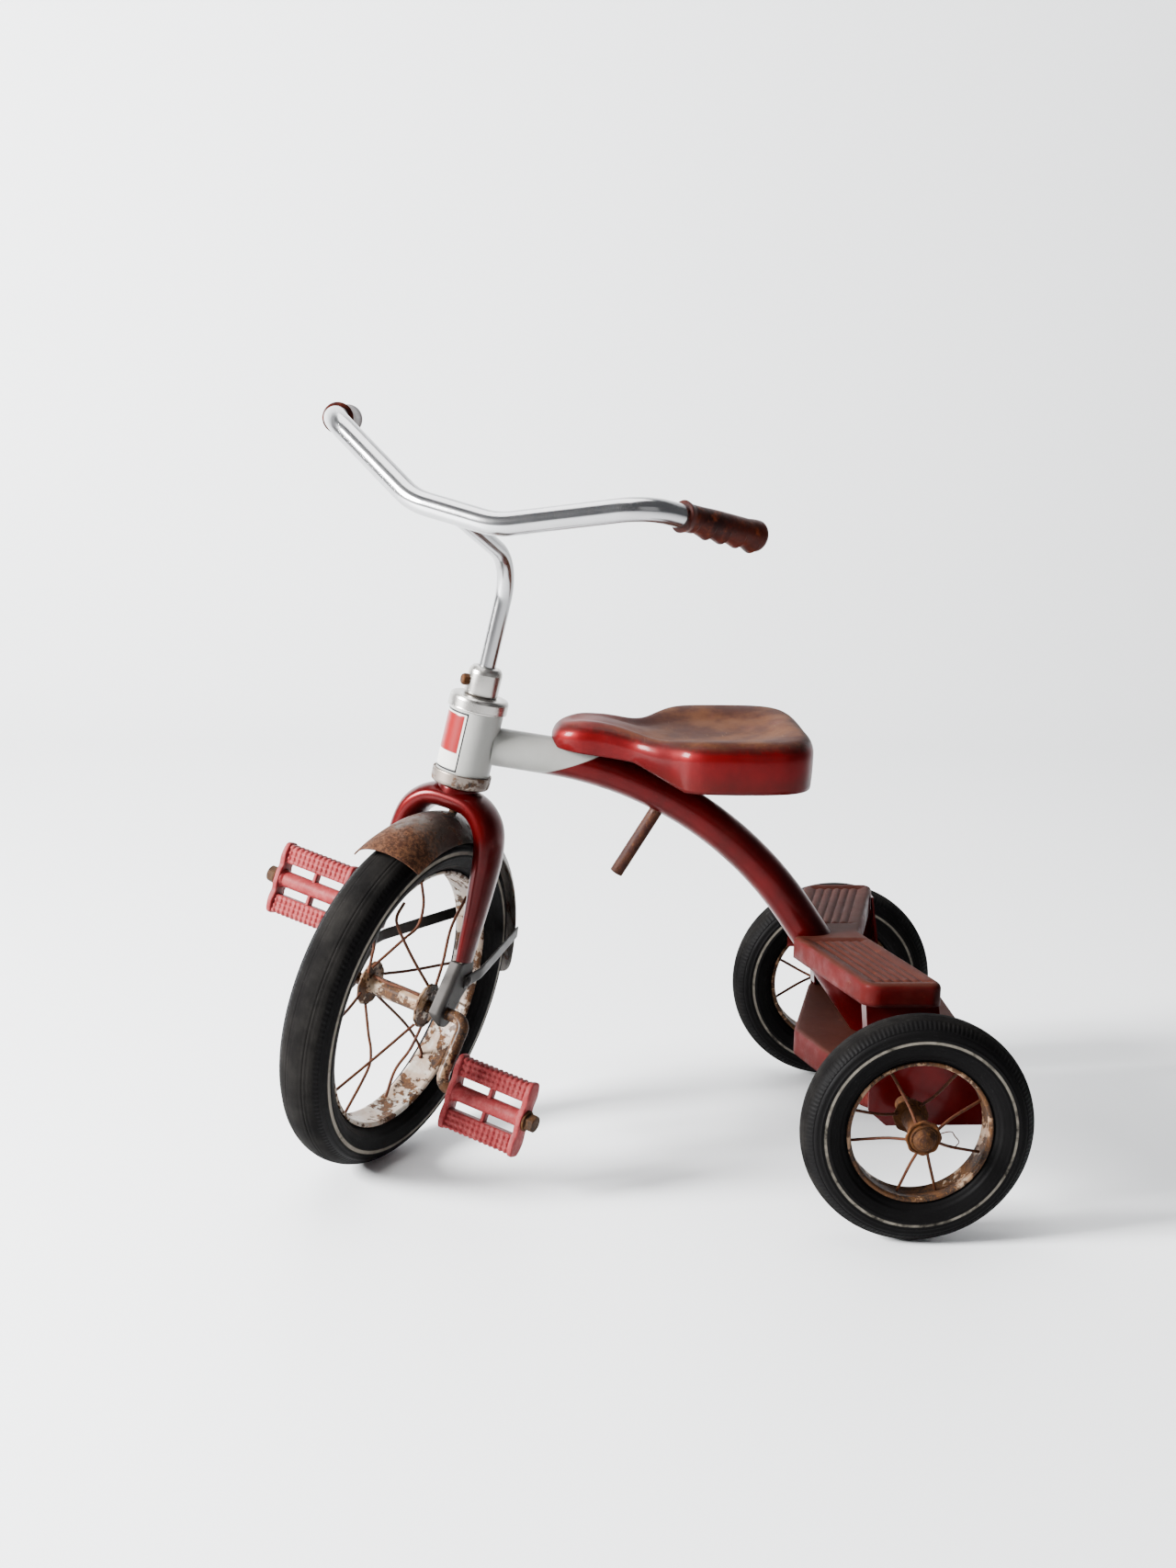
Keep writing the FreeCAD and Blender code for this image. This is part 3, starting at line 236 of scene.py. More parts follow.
def softened(profile, radius, steps=4, closed=True):
    """A profile with each corner rounded by the radius, or by a third of its shorter run."""
    profile = np.asarray(profile, float)
    flat = np.concatenate([profile, np.zeros((len(profile), 1))], 1)
    middle = np.concatenate([flat[-1:], flat, flat[:1]]) if closed else flat
    radii = []
    for a, b, c in zip(middle, middle[1:], middle[2:]):
        shorter = min(np.linalg.norm(a - b), np.linalg.norm(c - b))
        half = math.acos(max(-1.0, min(1.0, float(unit(a - b) @ unit(c - b))))) / 2
        radii.append(min(radius, 0.45 * shorter * math.tan(half)))
    line = rounded(middle, radii, steps)
    if closed:
        line = line[1:-1]
    return line[:, :2]


def moved(surface, put):
    """A surface's vertices put through a placing."""
    points, quads = surface
    return put(points), quads


def new_object(name, data):
    """An object of the data, linked to the scene."""
    made = bpy.data.objects.new(name, data)
    bpy.context.scene.collection.objects.link(made)
    return made


def make_piece(name, surfaces, finish, body, stands_for=(), wall=0.0, sharp=38.0,
               uv=None):
    """One object from local surfaces already placed in millimetres, merged, its faces outward."""
    points, faces, start = [], [], 0
    for surface_points, quads in surfaces:
        points.append(np.asarray(surface_points, float))
        faces.append(np.asarray(quads) + start)
        start += len(surface_points)
    mesh = bpy.data.meshes.new(name)
    mesh.from_pydata((np.concatenate(points) * MM).tolist(), [], np.concatenate(faces).tolist())
    if uv is not None:
        corner = np.empty(len(mesh.loops), np.int32)
        mesh.loops.foreach_get("vertex_index", corner)
        layer = mesh.uv_layers.new(name="panel")
        layer.data.foreach_set("uv", uv[corner].astype(np.float32).ravel())
    work = bmesh.new()
    work.from_mesh(mesh)
    bmesh.ops.remove_doubles(work, verts=work.verts, dist=2e-6)
    bmesh.ops.dissolve_degenerate(work, dist=1e-7, edges=work.edges)
    bmesh.ops.recalc_face_normals(work, faces=work.faces)
    work.to_mesh(mesh)
    work.free()
    mesh.polygons.foreach_set("use_smooth", [True] * len(mesh.polygons))
    mesh.set_sharp_from_angle(angle=math.radians(sharp))
    mesh.materials.append(finish)
    piece = new_object(name, mesh)
    if wall:
        thick = piece.modifiers.new("wall", "SOLIDIFY")
        thick.thickness = wall * MM
        thick.offset = -1
        thick.use_even_offset = True
    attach(piece, body)
    if stands_for:
        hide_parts(*stands_for)
    return piece


# ---- finishes ----------------------------------------------------------------------
def feed(tree, socket, value):
    """Links an output into the socket, or sets the socket to a value."""
    if isinstance(value, bpy.types.NodeSocket):
        tree.links.new(value, socket)
    else:
        socket.default_value = value


def node(tree, kind, inputs=None, **settings):
    """A shader node with its settings made and its inputs fed."""
    made = tree.nodes.new(kind)
    for key, value in settings.items():
        setattr(made, key, value)
    for key, value in (inputs or {}).items():
        feed(tree, made.inputs[key], value)
    return made


def maths(tree, operation, *values):
    """The result of a Math node."""
    return node(tree, "ShaderNodeMath", dict(enumerate(values)), operation=operation).outputs[0]


def vector_maths(tree, operation, *values, output="Vector"):
    """The result of a Vector Math node."""
    made = node(tree, "ShaderNodeVectorMath", dict(enumerate(values)), operation=operation)
    return made.outputs[output]


def ramp(tree, value, low, high, start=0.0, end=1.0):
    """The value mapped smoothly from low..high to start..end."""
    made = node(tree, "ShaderNodeMapRange", {"From Min": low, "From Max": high, "To Min": start,
                                             "To Max": end, "Value": value},
                interpolation_type="SMOOTHSTEP")
    return made.outputs[0]


def mixed(tree, factor, first, second):
    """Two colours mixed by a factor."""
    made = node(tree, "ShaderNodeMix", {0: factor}, data_type="RGBA")
    for key, value in ((6, first), (7, second)):
        feed(tree, made.inputs[key], (*value, 1.0) if isinstance(value, tuple) else value)
    return made.outputs[2]


def noise(tree, place, scale, detail=4.0, rough=0.55, warp=0.0):
    """The value of a Noise Texture."""
    return node(tree, "ShaderNodeTexNoise", {"Vector": place, "Scale": scale, "Detail": detail,
                                             "Roughness": rough, "Distortion": warp}).outputs[0]


GROUPS = {}


def effect(name, inputs, outputs, build):
    """A shader node group made once. build(tree, sockets) returns the outputs in order."""
    tree = bpy.data.node_groups.new(name, "ShaderNodeTree")
    for label, kind, value in inputs:
        socket = tree.interface.new_socket(name=label, in_out="INPUT", socket_type=kind)
        if value is not None:
            socket.default_value = value
    for label, kind in outputs:
        tree.interface.new_socket(name=label, in_out="OUTPUT", socket_type=kind)
    entry = tree.nodes.new("NodeGroupInput")
    leave = tree.nodes.new("NodeGroupOutput")
    for socket, result in zip(leave.inputs, build(tree, entry.outputs)):
        tree.links.new(result, socket)
    GROUPS[name] = tree


FLOAT, VECTOR, COLOUR = "NodeSocketFloat", "NodeSocketVector", "NodeSocketColor"


def build_blotches(tree, inputs):
    """Soft-edged patches: two noises added, cut off at 1 - amount."""
    place, scale, amount, soft = (inputs[k] for k in ("Place", "Scale", "Amount", "Softness"))
    coarse = noise(tree, place, scale, 9.0, 0.62, 0.4)
    finer = noise(tree, place, maths(tree, "MULTIPLY", scale, 4.3), 6.0, 0.6)
    field = maths(tree, "ADD", maths(tree, "MULTIPLY", coarse, 0.72),
                  maths(tree, "MULTIPLY", finer, 0.28))
    edge = maths(tree, "SUBTRACT", 0.78, maths(tree, "MULTIPLY", amount, 0.55))
    return [ramp(tree, field, maths(tree, "SUBTRACT", edge, soft), maths(tree, "ADD", edge, soft))]


def build_pits(tree, inputs):
    """Small round spots: near a scattered point, and only where a coarse noise allows it."""
    place, scale, size, amount = (inputs[k] for k in ("Place", "Scale", "Size", "Amount"))
    wobble = node(tree, "ShaderNodeTexNoise", {"Vector": place, "Scale": 400.0, "Detail": 3.0})
    nudged = vector_maths(tree, "ADD", place, vector_maths(tree, "SCALE", wobble.outputs["Color"]))
    cells = node(tree, "ShaderNodeTexVoronoi", {"Vector": nudged, "Scale": scale})
    near = ramp(tree, cells.outputs["Distance"], 0.0, size, 1.0, 0.0)
    allow = maths(tree, "GREATER_THAN", amount, node(
        tree, "ShaderNodeSeparateColor", {"Color": cells.outputs["Color"]}).outputs[0])
    return [maths(tree, "MULTIPLY", near, allow)]


def build_rust(tree, inputs):
    """Rust's colour from dark brown through orange to ochre, and its crusty height."""
    place, scale = inputs["Place"], inputs["Scale"]
    broad = noise(tree, place, scale, 7.0, 0.65, 0.6)
    grain = noise(tree, place, maths(tree, "MULTIPLY", scale, 6.0), 5.0, 0.7)
    dark = mixed(tree, ramp(tree, broad, 0.35, 0.62), (0.0085, 0.0034, 0.0015),
                 (0.046, 0.0165, 0.0034))
    warm = mixed(tree, ramp(tree, grain, 0.5, 0.75), dark, (0.118, 0.049, 0.0095))
    return [warm, maths(tree, "ADD", broad, maths(tree, "MULTIPLY", grain, 0.5))]


def build_scratches(tree, inputs):
    """Fine lines: a noise stretched along one way, kept only at its peaks."""
    stretched = vector_maths(tree, "MULTIPLY", inputs["Place"], inputs["Stretch"])
    lines = noise(tree, stretched, 1.0, 3.0, 0.6, 0.3)
    broken = noise(tree, inputs["Place"], 30.0, 2.0)
    sharp_lines = ramp(tree, lines, 0.66, 0.70)
    return [maths(tree, "MULTIPLY", sharp_lines, ramp(tree, broken, 0.45, 0.6))]


def build_radius(tree, inputs):
    """Distance from a line: length of (place - point) cross direction, and distance along it."""
    away = vector_maths(tree, "SUBTRACT", inputs["Place"], inputs["Point"])
    crossed = vector_maths(tree, "CROSS_PRODUCT", away, inputs["Direction"])
    return [vector_maths(tree, "LENGTH", crossed, output="Value"),
            vector_maths(tree, "DOT_PRODUCT", away, inputs["Direction"], output="Value")]


effect("Blotches", [("Place", VECTOR, None), ("Scale", FLOAT, 20.0), ("Amount", FLOAT, 0.3),
                    ("Softness", FLOAT, 0.03)], [("Mask", FLOAT)], build_blotches)
effect("Pits", [("Place", VECTOR, None), ("Scale", FLOAT, 150.0), ("Size", FLOAT, 0.35),
                ("Amount", FLOAT, 0.2)], [("Mask", FLOAT)], build_pits)
effect("Rust", [("Place", VECTOR, None), ("Scale", FLOAT, 60.0)],
       [("Colour", COLOUR), ("Height", FLOAT)], build_rust)
effect("Scratches", [("Place", VECTOR, None), ("Stretch", VECTOR, (300.0, 40.0, 300.0))],
       [("Mask", FLOAT)], build_scratches)
effect("Line distance", [("Place", VECTOR, None), ("Point", VECTOR, (0.0, 0.0, 0.0)),
                         ("Direction", VECTOR, (1.0, 0.0, 0.0))],
       [("Radius", FLOAT), ("Along", FLOAT)], build_radius)


def group(tree, name, **inputs):
    """A placed effect; inputs are named as its sockets, and its outputs come back by name."""
    return node(tree, "ShaderNodeGroup", inputs, node_tree=GROUPS[name]).outputs


class Finish:
    """One material being built: its tree, its place vector and its shader."""

    def __init__(self, name, metallic=0.0, coat=0.0, coat_rough=0.1, specular=0.5):
        self.material = bpy.data.materials.new(name)
        self.material.use_nodes = True
        self.tree = self.material.node_tree
        self.shader = self.tree.nodes["Principled BSDF"]
        self.shader.inputs["Metallic"].default_value = metallic
        self.shader.inputs["Coat Weight"].default_value = coat
        self.shader.inputs["Coat Roughness"].default_value = coat_rough
        self.shader.inputs["Specular IOR Level"].default_value = specular
        where = self.tree.nodes.new("ShaderNodeTexCoord")
        self.place = where.outputs["Object"]
        self.normal = where.outputs["Normal"]
        self.uv = where.outputs["UV"]

    def axis(self, direction, offset=0.0):
        """Metres along a direction from the object's origin, less an offset."""
        dot = vector_maths(self.tree, "DOT_PRODUCT", self.place, tuple(float(v) for v in direction),
                           output="Value")
        return maths(self.tree, "SUBTRACT", dot, float(offset))

    def facing(self, direction):
        """How far the surface faces a direction, from -1 to 1."""
        return vector_maths(self.tree, "DOT_PRODUCT", self.normal,
                            tuple(float(v) for v in direction), output="Value")

    def mask(self, name, output="Mask", **inputs):
        """An effect's mask at this material's place."""
        return group(self.tree, name, Place=self.place, **inputs)[output]

    def maths(self, *values):
        return maths(self.tree, *values)

    def times(self, *values):
        return maths(self.tree, "MULTIPLY", *values)

    def plus(self, *values):
        return maths(self.tree, "ADD", *values)

    def minus(self, *values):
        return maths(self.tree, "SUBTRACT", *values)

    def ramp(self, *values):
        return ramp(self.tree, *values)

    def mixed(self, *values):
        return mixed(self.tree, *values)

    def noise(self, *values):
        return noise(self.tree, self.place, *values)

    def lerp(self, factor, first, second):
        """first where the factor is 0, second where it is 1."""
        return node(self.tree, "ShaderNodeMix", {0: factor, 2: first, 3: second}).outputs[0]

    def done(self, colour, rough, metallic=None, coat=None, height=None, depth=0.0003):
        """Feeds the shader and returns the material."""
        for key, value in (("Base Color", colour), ("Roughness", rough), ("Metallic", metallic),
                           ("Coat Weight", coat)):
            if value is not None:
                feed(self.tree, self.shader.inputs[key], value)
        if height is not None:
            relief = node(self.tree, "ShaderNodeBump", {"Strength": 1.0, "Distance": depth,
                                                        "Height": height})
            self.tree.links.new(relief.outputs[0], self.shader.inputs["Normal"])
        return self.material


RED_DEEP = (0.017, 0.0001, 0.0002)
RED_BRIGHT = (0.052, 0.0002, 0.0006)
RED_BROWN = (0.024, 0.006, 0.003)
WHITE_PAINT = (0.285, 0.285, 0.27)
WHITE_DULL = (0.215, 0.212, 0.195)


def red_enamel(name, wear=0.15, dull=0.0, white_from=None):
    """Metallic red enamel: depth varies softly; chips and rubs show brown primer and rust.

    wear is the share that is worn through and dull how brown and flat the whole is.
    white_from, a plane (direction, metres), paints white beyond it.
    """
    f = Finish(name, coat_rough=0.12, specular=0.1)
    cloud = f.noise(14.0, 5.0, 0.6)
    colour = f.mixed(f.ramp(cloud, 0.3, 0.7), RED_DEEP, RED_BRIGHT)
    flake = f.noise(2600.0, 1.0)
    colour = f.mixed(f.times(flake, 0.2), colour, (0.16, 0.001, 0.003))
    tired = f.mask("Blotches", Scale=16.0, Amount=dull, Softness=0.16)
    colour = f.mixed(f.times(tired, 0.7), colour, (0.028, 0.003, 0.002))
    gone = f.mask("Blotches", Scale=42.0, Amount=wear, Softness=0.035)
    spots = f.mask("Pits", Scale=120.0, Size=0.33, Amount=0.05 + 0.25 * wear)
    metallic = f.lerp(tired, 0.55, 0.15)
    if white_from:
        direction, offset = white_from
        far = f.ramp(f.axis(direction, offset), -0.0006, 0.0006)
        white = f.mixed(f.noise(30.0, 4.0, 0.6), WHITE_PAINT, WHITE_DULL)
        colour = f.mixed(far, colour, white)
        metallic = f.times(metallic, f.minus(1.0, far))
        gone = f.times(gone, f.minus(1.0, f.times(far, 0.8)))
    gone = f.maths("MAXIMUM", gone, spots)
    rust = group(f.tree, "Rust", Place=f.place, Scale=70.0)
    colour = f.mixed(gone, colour, f.mixed(0.45, rust["Colour"], RED_BROWN))
    haze = f.noise(60.0, 6.0, 0.65)
    rough = f.plus(f.lerp(tired, 0.27, 0.52), f.times(haze, 0.10))
    rough = f.lerp(gone, rough, 0.75)
    coat = f.times(f.minus(1.0, gone), f.lerp(tired, 0.12, 0.02))
    height = f.minus(f.times(haze, 0.12), f.times(gone, 0.6))
    return f.done(colour, rough, f.lerp(gone, metallic, 0.1), coat, height, 0.00025)


def seat_enamel(name, rim_z):
    """Red metallic skirt that turns to rubbed-through brown and ochre on top, with scratches."""
    f = Finish(name, coat_rough=0.15, specular=0.08)
    cloud = f.noise(12.0, 5.0, 0.6)
    red = f.mixed(f.ramp(cloud, 0.3, 0.7), (0.024, 0.0003, 0.0006), (0.080, 0.0008, 0.0018))
    red = f.mixed(f.times(f.noise(2600.0, 1.0), 0.2), red, (0.20, 0.002, 0.004))
    brown = f.mixed(f.ramp(f.noise(22.0, 8.0, 0.62), 0.38, 0.62), (0.030, 0.0060, 0.0022),
                    (0.078, 0.026, 0.0085))
    brown = f.mixed(f.times(f.noise(220.0, 5.0, 0.7), 0.45), brown, (0.009, 0.003, 0.0015))
    facing_up = f.facing((0, 0, 1))
    ragged = f.times(f.minus(f.noise(34.0, 8.0, 0.65), 0.5), 0.9)
    behind = f.ramp(f.axis((0, 1, 0), (SEAT_NOSE + 20.0) * MM), 0.0, 0.090)
    top = f.times(f.ramp(f.plus(facing_up, ragged), 0.50, 0.93),
                  f.lerp(behind, 0.35, 1.0))
    colour = f.mixed(top, red, brown)
    level = f.axis((0, 0, 1), rim_z * MM)
    edge = f.times(f.ramp(facing_up, 0.35, 0.6), f.ramp(facing_up, 0.95, 0.75))
    edge = f.times(edge, f.mask("Blotches", Scale=60.0, Amount=0.62, Softness=0.10))
    colour = f.mixed(f.times(edge, 0.6), colour, (0.010, 0.003, 0.002))
    low = f.times(f.ramp(level, -0.024, -0.038), f.noise(50.0, 6.0, 0.7))
    colour = f.mixed(f.times(low, 0.7), colour, (0.022, 0.004, 0.002))
    lines = f.mask("Scratches", Stretch=(34.0, 420.0, 30.0))
    lines = f.times(lines, top)
    colour = f.mixed(f.times(lines, 0.5), colour, (0.115, 0.060, 0.026))
    gone = f.mask("Blotches", Scale=55.0, Amount=0.16, Softness=0.03)
    colour = f.mixed(gone, colour, (0.035, 0.011, 0.006))
    worn = f.maths("MAXIMUM", top, gone)
    rough = f.plus(f.lerp(worn, 0.40, 0.62), f.times(f.noise(90.0, 5.0), 0.14))
    coat = f.lerp(worn, 0.12, 0.0)
    height = f.plus(f.times(f.noise(160.0, 6.0, 0.7), 0.3),
                    f.times(worn, -0.35))
    return f.done(colour, rough, f.lerp(worn, 0.5, 0.12), coat, height, 0.00022)


def deck_enamel(name, low=0.0):
    """Red enamel on the sides, walked down to a dusty brown-red on top."""
    f = Finish(name, coat_rough=0.2, specular=0.06)
    red = f.mixed(f.ramp(f.noise(14.0, 5.0, 0.6), 0.3, 0.7), RED_DEEP, (0.062, 0.0004, 0.0010))
    side_wear = f.mask("Blotches", Scale=20.0, Amount=0.55 + low, Softness=0.14)
    red = f.mixed(f.times(side_wear, 0.6), red, (0.030, 0.003, 0.002))
    dusty = f.mixed(f.noise(40.0, 8.0, 0.65), (0.024, 0.0042, 0.0024), (0.050, 0.0125, 0.0075))
    dusty = f.mixed(f.times(f.noise(260.0, 4.0, 0.7), 0.5), dusty, (0.011, 0.0035, 0.0025))
    ragged = f.times(f.minus(f.noise(48.0, 8.0, 0.65), 0.5), 0.8)
    top = f.ramp(f.plus(f.facing((0, 0, 1)), ragged), 0.35, 0.9)
    colour = f.mixed(top, red, dusty)
    chips = f.mask("Blotches", Scale=75.0, Amount=0.28, Softness=0.03)
    colour = f.mixed(f.times(chips, 0.8), colour, (0.052, 0.010, 0.004))
    worn = f.maths("MAXIMUM", top, side_wear)
    rough = f.plus(f.lerp(worn, 0.34, 0.62), f.times(f.noise(90.0, 5.0), 0.12))
    height = f.plus(f.times(f.noise(200.0, 6.0, 0.7), 0.4),
                    f.times(chips, -0.4))
    return f.done(colour, rough, f.lerp(worn, 0.45, 0.05), f.lerp(worn, 0.14, 0.0), height, 0.00025)


def chipped_white(name, rust_amount, scale=40.0, base=WHITE_PAINT, dirt=0.3):
    """Off-white enamel over steel, with rust breaking through and brown stain round it."""
    f = Finish(name, coat=0.1, coat_rough=0.25, specular=0.2)
    paint = f.mixed(f.noise(30.0, 5.0, 0.6), base, WHITE_DULL)
    stain = f.mask("Blotches", Scale=scale * 0.6, Amount=rust_amount + 0.12, Softness=0.10)
    paint = f.mixed(f.times(stain, dirt), paint, (0.16, 0.075, 0.028))
    gone = f.mask("Blotches", Scale=scale, Amount=rust_amount, Softness=0.022)
    spots = f.mask("Pits", Scale=170.0, Size=0.36, Amount=0.05 + 0.3 * rust_amount)
    gone = f.maths("MAXIMUM", gone, spots)
    rust = group(f.tree, "Rust", Place=f.place, Scale=90.0)
    colour = f.mixed(gone, paint, rust["Colour"])
    rough = f.lerp(gone, 0.38, 0.82)
    height = f.times(gone, f.plus(rust["Height"], -1.1))
    return f.done(colour, rough, None, None, height, 0.0003)


def plated(name, base=(0.48, 0.48, 0.49), rust_amount=0.04, rough_base=0.12, pits=0.10):
    """Chrome plate: faint smears in the gloss, brown pin-holes and a little creeping rust."""
    f = Finish(name, metallic=1.0)
    smear = f.noise(26.0, 6.0, 0.6)
    plate = f.mixed(f.times(smear, 0.45), base, (0.24, 0.235, 0.23))
    gone = f.mask("Blotches", Scale=55.0, Amount=rust_amount, Softness=0.03)
    spots = f.mask("Pits", Scale=210.0, Size=0.30, Amount=pits)
    gone = f.maths("MAXIMUM", gone, spots)
    rust = group(f.tree, "Rust", Place=f.place, Scale=120.0)
    colour = f.mixed(gone, plate, rust["Colour"])
    rough = f.lerp(gone, f.plus(rough_base, f.times(smear, 0.13)), 0.8)
    return f.done(colour, rough, f.lerp(gone, 1.0, 0.1), None,
                  f.times(gone, f.plus(rust["Height"], -1.0)), 0.0002)


def rusted(name, scale=80.0, tint=(0.040, 0.015, 0.007), mix=0.3, rough=0.82):
    """Steel that is rust all over, with small flecks still dark."""
    f = Finish(name, specular=0.12)
    rust = group(f.tree, "Rust", Place=f.place, Scale=scale)
    colour = f.mixed(mix, rust["Colour"], tint)
    fleck = f.mask("Blotches", Scale=scale * 1.6, Amount=0.35, Softness=0.05)
    colour = f.mixed(f.times(fleck, 0.5), colour, (0.014, 0.009, 0.007))
    return f.done(colour, f.lerp(fleck, rough, rough - 0.25), f.times(fleck, 0.5), None,
                  rust["Height"], 0.0004)


def dull_steel(name):
    """Grey zinc-plated strip gone matt, with patches of rust."""
    f = Finish(name, specular=0.15)
    grey = f.mixed(f.noise(24.0, 6.0, 0.6), (0.013, 0.012, 0.0115), (0.034, 0.031, 0.029))
    gone = f.mask("Blotches", Scale=46.0, Amount=0.22, Softness=0.05)
    rust = group(f.tree, "Rust", Place=f.place, Scale=90.0)
    colour = f.mixed(gone, grey, f.mixed(0.4, rust["Colour"], (0.034, 0.022, 0.016)))
    rough = f.lerp(gone, f.plus(0.40, f.times(f.noise(60.0, 5.0), 0.2)), 0.8)
    return f.done(colour, rough, f.lerp(gone, 0.65, 0.1), None,
                  f.times(gone, rust["Height"]), 0.0003)


def tyre_rubber(name, centre, axle, stripe_at, stripe_wide, tread_from, stripe=0.8):
    """Black rubber: dusty grey tread, black walls and a rubbed off-white line.

    The line is where the distance from the axle lies within half a stripe of stripe_at.
    """
    f = Finish(name, specular=0.03)
    outputs = group(f.tree, "Line distance", Place=f.place, Point=tuple(centre * MM),
                    Direction=tuple(float(v) for v in axle))
    radius = outputs["Radius"]
    black = f.mixed(f.noise(30.0, 6.0, 0.6), (0.0018, 0.0017, 0.0018), (0.0042, 0.0040, 0.0041))
    grey = f.mixed(f.ramp(f.noise(24.0, 7.0, 0.62), 0.3, 0.7), (0.0024, 0.0022, 0.0022),
                   (0.0085, 0.0078, 0.0072))
    ragged = f.times(f.minus(f.noise(26.0, 6.0), 0.5), 0.006)
    tread = f.ramp(f.plus(radius, ragged), tread_from * MM, (tread_from + 5.0) * MM)
    colour = f.mixed(tread, black, grey)
    low, high = (stripe_at - stripe_wide / 2) * MM, (stripe_at + stripe_wide / 2) * MM
    soft = 0.0004
    line = f.times(f.ramp(radius, low - soft, low + soft),
                   f.ramp(radius, high + soft, high - soft))
    rubbed = f.mask("Blotches", Scale=34.0, Amount=stripe, Softness=0.10)
    line = f.times(line, f.times(rubbed, 0.92))
    chalk = f.mixed(f.noise(90.0, 5.0, 0.65), (0.22, 0.20, 0.165), (0.055, 0.049, 0.041))
    colour = f.mixed(line, colour, chalk)
    dust = f.mask("Pits", Scale=160.0, Size=0.30, Amount=0.05)
    colour = f.mixed(f.times(dust, 0.4), colour, (0.05, 0.045, 0.04))
    rough = f.lerp(tread, f.plus(0.42, f.times(f.noise(70.0, 5.0), 0.2)), 0.82)
    height = f.plus(f.noise(600.0, 4.0, 0.7), f.times(f.noise(60.0, 4.0), 0.6))
    return f.done(colour, rough, None, None, height, 0.00018)


def aged_rubber(name):
    """Brown-red grip rubber with lighter patches and black blotches, its gloss varying from place to
    place.
    """
    f = Finish(name, specular=0.10)
    dark = f.mixed(f.ramp(f.noise(34.0, 7.0, 0.62), 0.35, 0.68), (0.011, 0.0012, 0.0008),
                   (0.042, 0.0050, 0.0018))
    colour = f.mixed(f.ramp(f.noise(90.0, 6.0, 0.65), 0.5, 0.72), dark, (0.090, 0.017, 0.004))
    black = f.mask("Blotches", Scale=120.0, Amount=0.30, Softness=0.05)
    colour = f.mixed(f.times(black, 0.7), colour, (0.005, 0.0018, 0.0015))
    rough = f.plus(0.30, f.times(f.noise(80.0, 5.0), 0.30))
    return f.done(colour, rough, None, None, f.noise(180.0, 6.0, 0.7), 0.0004)


def faded_plastic(name):
    """Pinkish-red moulding with chalky patches and dirty patches."""
    f = Finish(name, specular=0.15)
    colour = f.mixed(f.ramp(f.noise(30.0, 6.0, 0.6), 0.3, 0.7), (0.115, 0.007, 0.009),
                     (0.170, 0.017, 0.019))
    chalk = f.mask("Blotches", Scale=150.0, Amount=0.45, Softness=0.10)
    colour = f.mixed(f.times(chalk, 0.35), colour, (0.27, 0.062, 0.060))
    dirt = f.mask("Blotches", Scale=70.0, Amount=0.25, Softness=0.10)
    colour = f.mixed(f.times(dirt, 0.55), colour, (0.050, 0.008, 0.007))
    rough = f.plus(0.42, f.times(f.noise(120.0, 4.0), 0.25))
    return f.done(colour, rough, None, None, f.noise(420.0, 4.0, 0.65), 0.00015)


def fender_plate(name, centre):
    """Dulled plating, crusted with pale brown rust towards the front, and red overspray on top."""
    f = Finish(name, specular=0.12)
    grey = f.mixed(f.noise(30.0, 6.0, 0.6), (0.032, 0.027, 0.024), (0.085, 0.074, 0.064))
    rearward = np.cross(UP, AXLE)
    ahead = f.axis(-rearward, float(-(centre * MM) @ rearward))
    ragged = f.times(f.minus(f.noise(40.0, 8.0, 0.65), 0.5), 0.11)
    front = f.ramp(f.plus(ahead, ragged), 0.020, 0.062)
    fine = f.noise(300.0, 6.0, 0.72)
    crust = f.mixed(f.ramp(fine, 0.40, 0.62), (0.018, 0.0060, 0.0022), (0.082, 0.033, 0.0145))
    blots = f.mask("Blotches", Scale=90.0, Amount=0.42, Softness=0.08)
    crust = f.mixed(f.times(blots, 0.7), crust, (0.024, 0.0062, 0.0022))
    spots = f.mask("Blotches", Scale=70.0, Amount=0.40, Softness=0.04)
    gone = f.maths("MAXIMUM", front, f.times(spots, 0.8))
    colour = f.mixed(gone, grey, crust)
    over = f.times(f.mask("Blotches", Scale=120.0, Amount=0.22, Softness=0.03),
                   f.ramp(f.maths("ABSOLUTE", f.minus(ahead, 0.020)), 0.020, 0.0))
    colour = f.mixed(f.times(over, 0.8), colour, (0.085, 0.003, 0.003))
    rough = f.lerp(gone, f.plus(0.28, f.times(f.noise(80.0, 5.0), 0.2)), 0.8)
    return f.done(colour, rough, f.lerp(gone, 0.7, 0.05), None,
                  f.times(gone, f.plus(fine, f.noise(90.0, 5.0))), 0.0003)


def label_print(name):
    """A white panel with a thin dark outline and a plain red block, drawn on the piece's own map."""
    f = Finish(name, coat=0.1, coat_rough=0.2, specular=0.2)
    parts = node(f.tree, "ShaderNodeSeparateXYZ", {"Vector": f.uv})
    u, v = parts.outputs[0], parts.outputs[1]

    def within(value, low, high, soft):
        return f.times(f.ramp(value, low - soft, low + soft),
                       f.ramp(value, high + soft, high - soft))

    inner = f.times(within(u, 0.018, 0.982, 0.004), within(v, 0.03, 0.97, 0.006))
    red = f.times(within(u, 0.05, 0.95, 0.005), within(v, 0.31, 0.945, 0.007))
    paper = f.mixed(f.noise(60.0, 5.0, 0.6), (0.50, 0.50, 0.48), (0.40, 0.38, 0.34))
    colour = f.mixed(red, paper, (0.150, 0.0015, 0.003))
    chips = f.mask("Blotches", Scale=160.0, Amount=0.18, Softness=0.02)
    colour = f.mixed(chips, colour, (0.44, 0.40, 0.33))
    colour = f.mixed(inner, (0.02, 0.02, 0.022), colour)
    return f.done(colour, f.lerp(chips, 0.30, 0.6))


